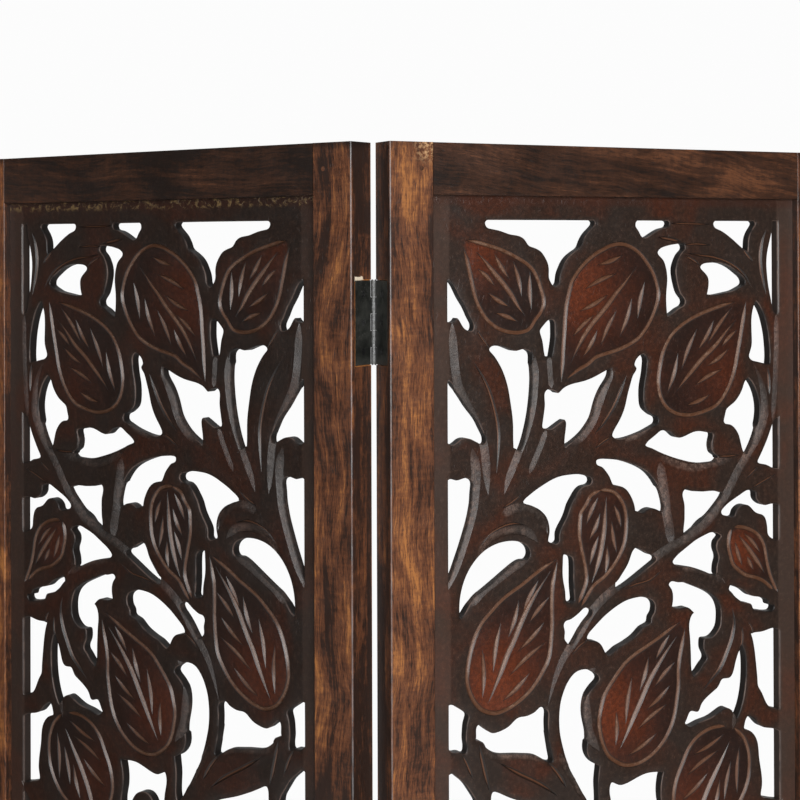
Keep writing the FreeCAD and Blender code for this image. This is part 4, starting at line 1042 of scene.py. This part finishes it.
def cut_shadow_and_highlight(s, broad, scuffs, colour, look):
    """A painted shadow along both sides of every cut line, and a lighter core with patches of painted
    highlight.
    """
    cut = s.attribute("cut")
    # Painted shadow: dark bands along the sides of the cut
    outline = s.times(s.step(cut, 0.0, 0.06), s.step(cut, 0.16, 0.34, 1.0, 0.0))
    colour = s.mix(s.times(outline, 0.85), colour, look["dark"])
    # Painted highlight, partly rubbed timber: pale patches in the core of the cut
    polish = s.times(s.step(scuffs["Mottle"], 0.25, 0.9), s.step(cut, 0.3, 0.8),
                     s.step(broad, 0.35, 0.62, 0.1, 0.8))
    core = s.times(s.step(cut, 0.16, 0.36), 0.95)
    return s.mix(core, colour, s.mix(polish, look["cut"], look["bare"]))


def board_material(name, look):
    """Stained carving: dark grounds, warm leaf faces, cut lines with painted shadow beside them and painted
    highlight in them, and slopes with a painted grey sheen.
    """
    material, s, principled = new_material(name)
    place = s.node("ShaderNodeAttribute", attribute_name="board_place").outputs["Vector"]
    gap, slope = s.attribute("edge_gap"), s.attribute("slope")
    shifted = s.stretch(place, (1, 1, 1), (look["seed"] * 0.37, 0, look["seed"] * 0.53))
    grain = s.group("Timber grain", {"Vector": shifted, "Seed": look["seed"], "Tilt": 0.12})
    scuffs = s.group("Lacquer scuffs", {"Vector": shifted, "Size": 1.0})
    broad = s.noise(shifted, 13.0, 3.0, 0.6, 0.5)
    leafy = s.times(s.step(s.attribute("leafy"), 0.0, 0.35), look["leaf_share"])
    colour = s.mix(leafy, board_ground(s, shifted, broad, gap, look),
                   leaf_face(s, grain["Streak"], broad, look))
    colour = s.mix(s.step(scuffs["Mottle"], 0.15, 0.8, 0.55, 0.0), colour, look["dark"])
    colour = s.mix(s.times(s.step(scuffs["Mottle"], 0.72, 0.95), 0.22), colour, look["raw"])
    colour = lip_shade_and_highlight(s, place, scuffs, gap, colour, look)
    colour = slope_sheen_and_wear(s, slope, grain["Fibre"], broad, scuffs, colour, look)
    colour = cut_shadow_and_highlight(s, broad, scuffs, colour, look)
    down = s.split(place)["Z"]
    start, full, fading, end = (row * MM for row in STRIP_ROWS)
    band = s.times(s.step(down, start, full), s.step(down, fading, end, 1.0, 0.0))
    speckle = s.step(s.noise(shifted, 150.0, 4.0, 0.72, 0.8), 0.50, 0.64)
    colour = s.mix(s.times(band, 0.35), colour, look["red"])
    colour = s.mix(s.times(band, speckle, look["strip"]), colour, look["gold"])
    rough = s.plus(0.36, s.times(s.less(scuffs["Patch"], 0.5), 0.25), s.times(slope, 0.12),
                   s.step(gap, 0.0, 1.4, 0.22, 0.0))
    height = s.plus(s.times(grain["Height"], 0.55),
                    s.times(scuffs["Height"], s.plus(0.8, s.times(slope, 3.2))),
                    s.times(band, speckle, 0.6))
    set_finish(
        s, principled,
        {"Base Color": s.mix(s.times(scuffs["Fleck"], 0.3), colour, look["dark"]), "Roughness": rough},
        (0.42, 0.5 * MM, height), {"IOR": 1.43, "Coat Weight": 0.05, "Coat Roughness": 0.22})
    return material


def metal_material(name, look):
    """Blackened or bare steel with dull patches and bright scuffs that are partly painted glints, rubbed
    bright round a hinge's pin, which is partly a painted highlight.
    """
    material, s, principled = new_material(name)
    place = s.object_place()
    scuffs = s.group("Lacquer scuffs", {"Vector": place, "Size": look["size"]})
    colour = s.mix(s.step(scuffs["Patch"], 0.35, 0.65), look["dark"], look["light"])
    # Painted glints, partly scuffs: bright flecks
    colour = s.mix(s.times(scuffs["Fleck"], look["fleck"]), colour, look["bright"])
    if "pin" in look:
        x, y, _ = s.split(place)
        away = s.math("SQRT", s.plus(*(s.math("POWER", s.less(value, centre), 2.0)
                                       for value, centre in zip((x, y), look["pin"]))))
        # Painted highlight, partly rubbed steel: the barrel round the pin made brighter
        bright, dull = BARREL_RADIUS
        rubbed = s.times(s.step(away, bright * MM, dull * MM, 1.0, 0.0),
                         s.step(scuffs["Mottle"], 0.2, 0.8, 0.15, 1.0))
        colour = s.mix(rubbed, colour, look["rubbed"])
    rough = s.step(scuffs["Patch"], 0.3, 0.7, look["smooth"], look["rough"])
    set_finish(s, principled, {"Base Color": colour, "Roughness": rough}, (0.3, 0.2 * MM, scuffs["Height"]),
               {"Metallic": look["metal"]})
    return material


def wear_material_on(node, material):
    """Give a CAD piece its finish through its material slots."""
    piece = frame["nodes"][node]
    if not piece.material_slots:
        piece.data.materials.append(material)
    for slot in piece.material_slots:
        slot.material = material


# Settings

def colour_property(label, words, value):
    return bpy.props.FloatVectorProperty(
        name=label, description=words, subtype="COLOR", size=3, min=0, max=1, default=value)


def size_property(label, words, value, low=0.1):
    return bpy.props.FloatProperty(name=label, description=f"{words}, mm", default=value, min=low)


def share_property(label, words, value):
    return bpy.props.FloatProperty(name=label, description=words, default=value, min=0.0, max=1.0)


def light_property(label, words, value, unit="NONE"):
    return bpy.props.FloatProperty(name=label, description=words, unit=unit, default=value, min=0.0)


class ScreenCarving(bpy.types.PropertyGroup):
    """Sizes of the carved lines and edges, in millimetres."""

    ring_width: size_property("Ring width", "Width of the line cut round each leaf", 4.6, 0.5)
    ring_depth: size_property("Ring depth", "Depth of the line cut round each leaf", 2.1)
    midrib_width: size_property("Midrib width", "Width of a leaf's midrib", 5.8, 0.5)
    midrib_depth: size_property("Midrib depth", "Depth of a leaf's midrib", 2.3)
    vein_width: size_property("Vein width", "Greatest width of a side vein", 5.0, 0.5)
    vein_depth: size_property("Vein depth", "Greatest depth of a side vein", 2.1)
    slope_fall: share_property("Slope", "Fall of the stems' sloping faces per width", 0.34)
    pillow_width: size_property(
        "Edge fall width", "How far in from an opening the face starts to fall", 7.0, 1.0)
    pillow_height: size_property("Edge fall", "Fall of the face at an opening", 0.7, 0.0)
    edge_round: size_property("Edge round", "Radius of an opening's softened edge", 0.8)
    edge_step: size_property("Edge step", "Spacing of points along the edges", 2.1, 0.5)
    grid_step: size_property("Grid step", "Spacing of points on the faces", 3.6, 1.0)
    back_share: share_property("Back share", "Depth of the back's carving against the front's", 0.8)


class ScreenFinish(bpy.types.PropertyGroup):
    """Colours of the stain, the timber and the metal, some of them painted highlights, sheens and shade."""

    # The dark stain colour also paints the shade on the openings' walls and lips and the shadow beside the
    # cut lines
    dark: colour_property("Dark stain", "Stain where it lies thickest", (0.0095, 0.0062, 0.0052))
    grey: colour_property("Grey stain", "Dull parts of the boards' ground", (0.031, 0.0195, 0.0145))
    brown: colour_property("Brown stain", "Warm parts of the boards' ground", (0.045, 0.0195, 0.0115))
    deep: colour_property("Leaf shade", "Dark parts of the leaf faces", (0.020, 0.0088, 0.0062))
    red: colour_property("Leaf red", "Red-brown of the leaf faces", (0.059, 0.0158, 0.0068))
    ember: colour_property("Leaf glow", "Rubbed orange-brown within a leaf", (0.215, 0.039, 0.0078))
    cut: colour_property("Cut lines", "Timber showing in the cut lines", (0.130, 0.056, 0.029))
    # Partly a painted highlight: the pale patches in the cut lines
    bare: colour_property("Bare timber", "Timber rubbed bare in the cut lines", (0.30, 0.20, 0.145))
    # A painted highlight: the cool grey line along the stiles' arrises
    glint: colour_property("Arris", "Cool grey of lacquer rubbed thin along an arris", (0.25, 0.245, 0.25))
    pale: colour_property("Raw timber", "Pale timber where the lacquer has gone", (0.60, 0.36, 0.18))
    chip: colour_property("Chip", "Fresh timber of the chip above a hinge", (0.82, 0.70, 0.54))
    gold: colour_property("Rubbed gold", "Gold-brown speckle along a board's top", (0.27, 0.175, 0.075))
    # A painted sheen: the grey the sloping faces show where they reflect the light
    slope: colour_property("Slopes", "Dull grey-brown of the sloping faces", (0.072, 0.057, 0.048))
    # This rubbed pinkish grey also paints the highlight along the openings' front arrises
    raw: colour_property("Worn slopes", "Pinkish grey where the slopes are rubbed", (0.20, 0.125, 0.096))
    stile_shade: colour_property("Stile shade", "Dark streaks of the stiles", (0.030, 0.0150, 0.0105))
    stile_brown: colour_property("Stile brown", "Middle tone of the stiles", (0.140, 0.050, 0.0220))
    stile_gold: colour_property("Stile gold", "Light streaks of the stiles", (0.39, 0.150, 0.041))
    rail_shade: colour_property("Rail shade", "Dark streaks of the rails", (0.017, 0.0105, 0.0082))
    rail_brown: colour_property("Rail brown", "Middle tone of the rails", (0.047, 0.0195, 0.0105))
    rail_gold: colour_property("Rail gold", "Light streaks of the rails", (0.14, 0.052, 0.022))
    brad: colour_property("Brad heads", "Stained-over heads of the brads", (0.055, 0.027, 0.016))
    # Partly a painted highlight on the hinge barrels
    steel: colour_property("Rubbed steel", "Hinge barrels rubbed bare", (0.15, 0.15, 0.155))


class ScreenStage(bpy.types.PropertyGroup):
    """The camera, the lights and the room's glow."""

    camera_place: bpy.props.FloatVectorProperty(
        name="Camera", description="Where the camera stands", subtype="TRANSLATION", unit="LENGTH", size=3,
        default=(0.1405, -1.5705, 1.7359))
    camera_look: bpy.props.FloatVectorProperty(
        name="Look", description="Direction in which the camera looks", subtype="XYZ", size=3,
        default=(-0.0798, 0.9968, 0.0054))
    camera_roll: bpy.props.FloatProperty(
        name="Roll", description="Turn of the camera about its own axis", subtype="ANGLE", default=-0.0034)
    camera_lens: bpy.props.FloatProperty(
        name="Lens", description="Focal length on a 36 mm sensor", subtype="DISTANCE_CAMERA", default=72.27)
    camera_shift: bpy.props.FloatProperty(
        name="Shift", description="How far the frame is shifted down", default=-0.2045)
    key_light: light_property("Key light", "Power of the large soft light by the camera", 106.0, "POWER")
    window_light: light_property("Window", "Power of the light seen only in reflections", 55.0, "POWER")
    front_glow: light_property("Front glow", "Brightness of the room in front", 0.035)
    top_glow: light_property("Top glow", "Brightness of the room's ceiling", 0.8)
    back_glow: light_property("Back glow", "Brightness of the wall behind", 0.9)


def colours(finish, names, prefix="", tone=1.0):
    """Some of the finish's colours by name, each darkened by a tone."""
    return {name: tuple(tone * value for value in getattr(finish, prefix + name)) for name in names}


# Operators

class SCREEN_OT_mix_finishes(bpy.types.Operator):
    """Build the shared grain, stain, wear and scuff node groups"""

    bl_idname = "screen.mix_finishes"
    bl_label = "Mix the finishes"

    def execute(self, context):
        make_grain_group()
        make_stain_group()
        make_wear_group()
        make_scuff_group()
        return {"FINISHED"}


class SCREEN_OT_carve_boards(bpy.types.Operator):
    """Carve the eight pierced boards and stain them"""

    bl_idname = "screen.carve_boards"
    bl_label = "Carve the boards"

    # For each leaf: the leaf faces' share of colour, the board's tone, the share of the slopes' painted
    # sheen, weaker on the first two leaves, which face away from the light, and the worn strip
    LOOKS = {"leaf_1": (0.75, 0.78, 0.55, 0.3), "leaf_2": (0.68, 0.66, 0.55, 0.85),
             "leaf_3": (0.88, 1.0, 0.8, 0.0), "leaf_4": (0.85, 0.95, 0.8, 0.2)}

    def execute(self, context):
        sizes, finish = context.scene.screen_carving, context.scene.screen_finish
        relief = Relief(sizes)
        for number, (leaf, (share, tone, slopes, strip)) in enumerate(self.LOOKS.items()):
            for name, level in BOARD_LEVELS.items():
                node = f"{leaf}_{name}"
                upper = name == "upper_board"
                mesh = relief_mesh(f"{node}_carved", relief, leaf, level, sizes.back_share)
                board = bpy.data.objects.new(f"{node}_carved", mesh)
                context.scene.collection.objects.link(board)
                bpy.ops.object.select_all(action="DESELECT")
                board.select_set(True)
                context.view_layer.objects.active = board
                bpy.ops.object.shade_smooth_by_angle(angle=SMOOTH_ANGLE)
                look = colours(finish, ("dark", "grey", "brown", "deep", "red", "ember", "cut", "bare",
                                        "gold", "slope", "raw"), tone=tone)
                look.update(seed=1.7 * number + (0.0 if upper else 4.3), leaf_share=share,
                            ember_share=share * 0.75, slope_share=slopes, strip=strip if upper else 0.0)
                mesh.materials.append(board_material(f"{node}_stain", look))
                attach(board, leaf)
                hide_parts(node)
        return {"FINISHED"}


class SCREEN_OT_stain_frames(bpy.types.Operator):
    """Stain the stiles and rails of every leaf"""

    bl_idname = "screen.stain_frames"
    bl_label = "Stain the frames"

    # For each stile: its glow, the seed of its grain, and patches (height and reach in metres, change)
    STILES = {
        "leaf_1_left_stile": (0.45, 2.1, []),
        "leaf_1_right_stile": (0.55, 5.2, []),
        "leaf_2_left_stile": (0.55, 8.4, []),
        "leaf_2_right_stile": (0.28, 11.9, [(1.44, 0.16, 0.14), (1.76, 0.08, 0.06), (1.22, 0.10, -0.15)]),
        "leaf_3_left_stile": (0.45, 14.3, [(1.47, 0.14, 0.14), (1.28, 0.12, -0.18)]),
        "leaf_3_right_stile": (0.45, 17.7, []),
        "leaf_4_left_stile": (0.55, 21.2, []),
        "leaf_4_right_stile": (0.60, 24.6, []),
    }
    # For the stiles at the middle fold: how chipped the timber is round the top hinge, and above it
    CHIPS = {"leaf_2_right_stile": (0.9, 0.95), "leaf_3_left_stile": (0.2, 0.0)}
    # For the rails in the photograph: glow, the seed of the grain and its tilt
    RAILS = {"leaf_3_top_rail": (0.42, 3.4, 0.14), "leaf_2_top_rail": (0.10, 6.6, 0.03)}

    def execute(self, context):
        finish = context.scene.screen_finish
        stains = {kind: {**colours(finish, ("dark",)), **colours(finish, ("shade", "brown", "gold"), kind)}
                  for kind in ("stile_", "rail_")}
        for node, (glow, seed, patches) in self.STILES.items():
            leaf = node[:6]
            # The side share darkens the narrow edge faces with painted shade
            look = {"glow": glow, "seed": seed, "patches": patches, "tilt": 0.0, "edge_face_shade": -0.36,
                    # The wear share sets how strong the painted highlight along the arris is
                    "contrast": 1.0, "wear": 0.8, "outer": 0.0 if "left" in node else LEAF_WIDTH * MM,
                    "end_dark": 0.75 if leaf == "leaf_2" else 0.3,
                    "worn_top": 0.8 if node == "leaf_3_left_stile" else 0.0,
                    **stains["stile_"], **colours(finish, ("glint", "pale", "chip"))}
            if node in self.CHIPS:
                top = LEAF_HEIGHT - HINGE_INSET
                look["hinge_span"] = ((top - HINGE_LENGTH) * MM, top * MM)
                look["chips"], look["chips_top"] = self.CHIPS[node]
            wear_material_on(node, timber_material(f"{node}_stain", leaf, "z", look))
        for number, leaf in enumerate(PLACEMENTS):
            for k, name in enumerate(("bottom_rail", "middle_rail", "top_rail")):
                node = f"{leaf}_{name}"
                glow, seed, tilt = self.RAILS.get(node, (0.36, 9.1 + 3.3 * number + 1.7 * k, 0.08))
                look = {"glow": glow, "seed": seed, "patches": [], "tilt": tilt, "edge_face_shade": -0.1,
                        "contrast": 0.75, **stains["rail_"]}
                wear_material_on(node, timber_material(f"{node}_stain", leaf, "x", look))
        return {"FINISHED"}


class SCREEN_OT_blacken_hinges(bpy.types.Operator):
    """Blacken the hinge plates and screws and polish the pins and brads"""

    bl_idname = "screen.blacken_hinges"
    bl_label = "Blacken the hinges"

    def execute(self, context):
        finish = context.scene.screen_finish
        blacks = {}
        for joint in frame["joints"]:
            # Each hinge's barrel gets a painted highlight, partly rubbed steel, from the steel colour
            blacks[joint["name"]] = metal_material(f"{joint['name']}_black", {
                "dark": (0.014, 0.015, 0.013), "light": (0.045, 0.046, 0.040), "bright": (0.30, 0.29, 0.27),
                "fleck": 0.35, "smooth": 0.30, "rough": 0.48, "metal": 0.35, "size": 1.4,
                "pin": joint["pos_m"][:2], "rubbed": tuple(finish.steel)})
        screw = metal_material("screw_black", {
            "dark": (0.012, 0.012, 0.012), "light": (0.05, 0.05, 0.048), "bright": (0.30, 0.29, 0.28),
            "fleck": 0.3, "smooth": 0.3, "rough": 0.45, "metal": 0.4, "size": 2.2})
        pin = metal_material("pin_steel", {
            "dark": (0.10, 0.10, 0.105), "light": (0.30, 0.29, 0.29), "bright": (0.55, 0.54, 0.53),
            "fleck": 0.4, "smooth": 0.22, "rough": 0.4, "metal": 1.0, "size": 2.0})
        brad = metal_material("brad_stained", {
            "dark": tuple(finish.brad), "light": tuple(finish.stile_brown), "bright": (0.5, 0.45, 0.4),
            "fleck": 0.25, "smooth": 0.3, "rough": 0.45, "metal": 0.25, "size": 2.0})
        kinds = {"screws": screw, "pins": pin, "brads": brad}
        for node in frame["nodes"]:
            kind = node.split("_")[-1]
            if kind == "plates":
                wear_material_on(node, blacks[node[:6]])
            elif kind in kinds:
                wear_material_on(node, kinds[kind])
        return {"FINISHED"}


def lay_floor():
    """A round pale floor under the screen."""
    bpy.ops.object.select_all(action="DESELECT")
    bpy.ops.mesh.primitive_circle_add(
        vertices=96, radius=FLOOR_RADIUS, fill_type="NGON", location=(0, 0, -FLOOR_DROP))
    floor = bpy.context.object
    floor.name = "floor"
    material, s, principled = new_material("floor_pale")
    clouds = s.noise(s.object_place(), 3.0, 3.0)
    s.put(principled.inputs["Base Color"], s.mix(clouds, (0.86, 0.86, 0.85), (0.90, 0.90, 0.89)))
    principled.inputs["Roughness"].default_value = 0.7
    floor.data.materials.append(material)


def light_room(stage):
    """White behind the screen for the camera, and a room with a bright back and ceiling round it."""
    world = bpy.data.worlds.new("studio")
    world.use_nodes = True
    world.node_tree.nodes.clear()
    s = Shader(world.node_tree)
    _, y, z = s.split(s.node("ShaderNodeTexCoord").outputs["Generated"])
    behind, above = s.step(y, 0.50, 0.95), s.step(z, 0.72, 0.98)
    light = s.plus(s.times(behind, stage.back_glow), s.times(above, stage.top_glow), stage.front_glow)
    backdrop = s.node("ShaderNodeBackground", {"Color": (0.975, 0.975, 0.975), "Strength": 1.0})
    around = s.node("ShaderNodeBackground", {"Color": (1.0, 0.99, 0.98), "Strength": light})
    seen = s.node("ShaderNodeLightPath").outputs["Is Camera Ray"]
    blend = s.node("ShaderNodeMixShader", {0: seen, 1: around.outputs[0], 2: backdrop.outputs[0]})
    s.node("ShaderNodeOutputWorld", {"Surface": blend.outputs[0]})
    bpy.context.scene.world = world


def hang_light(name, place, target, size, power):
    """A large soft light aimed at a point."""
    data = bpy.data.lights.new(name, "AREA")
    data.shape = "RECTANGLE"
    data.size, data.size_y = size
    data.energy = power
    lamp = bpy.data.objects.new(name, data)
    lamp.location = place
    lamp.rotation_euler = (Vector(target) - Vector(place)).to_track_quat("-Z", "Y").to_euler()
    bpy.context.scene.collection.objects.link(lamp)
    return lamp


def place_camera(stage):
    """The photograph's view of the middle fold."""
    data = bpy.data.cameras.new("camera")
    data.lens, data.sensor_width, data.sensor_fit = stage.camera_lens, 36.0, "HORIZONTAL"
    data.shift_y = stage.camera_shift
    data.clip_start, data.clip_end = 0.05, 60.0
    camera = bpy.data.objects.new("camera", data)
    camera.location = stage.camera_place
    turn = Vector(stage.camera_look).normalized().to_track_quat("-Z", "Y").to_matrix()
    camera.rotation_euler = (turn @ Matrix.Rotation(stage.camera_roll, 3, "Z")).to_euler()
    bpy.context.scene.collection.objects.link(camera)
    bpy.context.scene.camera = camera


class SCREEN_OT_set_stage(bpy.types.Operator):
    """Set the floor, the background, the lights and the camera"""

    bl_idname = "screen.set_stage"
    bl_label = "Set the stage"

    def execute(self, context):
        stage = context.scene.screen_stage
        lay_floor()
        light_room(stage)
        hang_light("key_light", (0.80, -3.05, 2.05), (0, 0, 1.45), (1.9, 1.5), stage.key_light)
        window = hang_light("window", (-1.30, -2.65, 1.75), (0.2, 0, 1.5), (0.9, 1.6), stage.window_light)
        window.visible_diffuse = False
        place_camera(stage)
        context.scene.view_settings.view_transform = "Standard"
        context.scene.view_settings.look = "None"
        return {"FINISHED"}


class SCREEN_PT_sidebar(bpy.types.Panel):
    """The screen's steps and settings in the 3D view's sidebar"""

    bl_idname = "SCREEN_PT_sidebar"
    bl_label = "Carved screen"
    bl_space_type = "VIEW_3D"
    bl_region_type = "UI"
    bl_category = "Screen"

    def draw(self, context):
        for operator in OPERATORS:
            self.layout.operator(operator.bl_idname)
        for key in SETTINGS:
            box = self.layout.box()
            settings = getattr(context.scene, key)
            for name in settings.bl_rna.properties.keys():
                if name not in ("rna_type", "name"):
                    box.prop(settings, name)


OPERATORS = (SCREEN_OT_mix_finishes, SCREEN_OT_carve_boards, SCREEN_OT_stain_frames,
             SCREEN_OT_blacken_hinges, SCREEN_OT_set_stage)
SETTINGS = {"screen_carving": ScreenCarving, "screen_finish": ScreenFinish, "screen_stage": ScreenStage}
CLASSES = (*SETTINGS.values(), *OPERATORS, SCREEN_PT_sidebar)


def register():
    for cls in CLASSES:
        bpy.utils.register_class(cls)
    for key, cls in SETTINGS.items():
        setattr(bpy.types.Scene, key, bpy.props.PointerProperty(type=cls))


def unregister():
    for key in SETTINGS:
        delattr(bpy.types.Scene, key)
    for cls in reversed(CLASSES):
        bpy.utils.unregister_class(cls)


def main():
    register()
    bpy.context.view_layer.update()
    bpy.ops.screen.mix_finishes()
    bpy.ops.screen.carve_boards()
    bpy.ops.screen.stain_frames()
    bpy.ops.screen.blacken_hinges()
    bpy.ops.screen.set_stage()


if __name__ == "__main__":
    main()
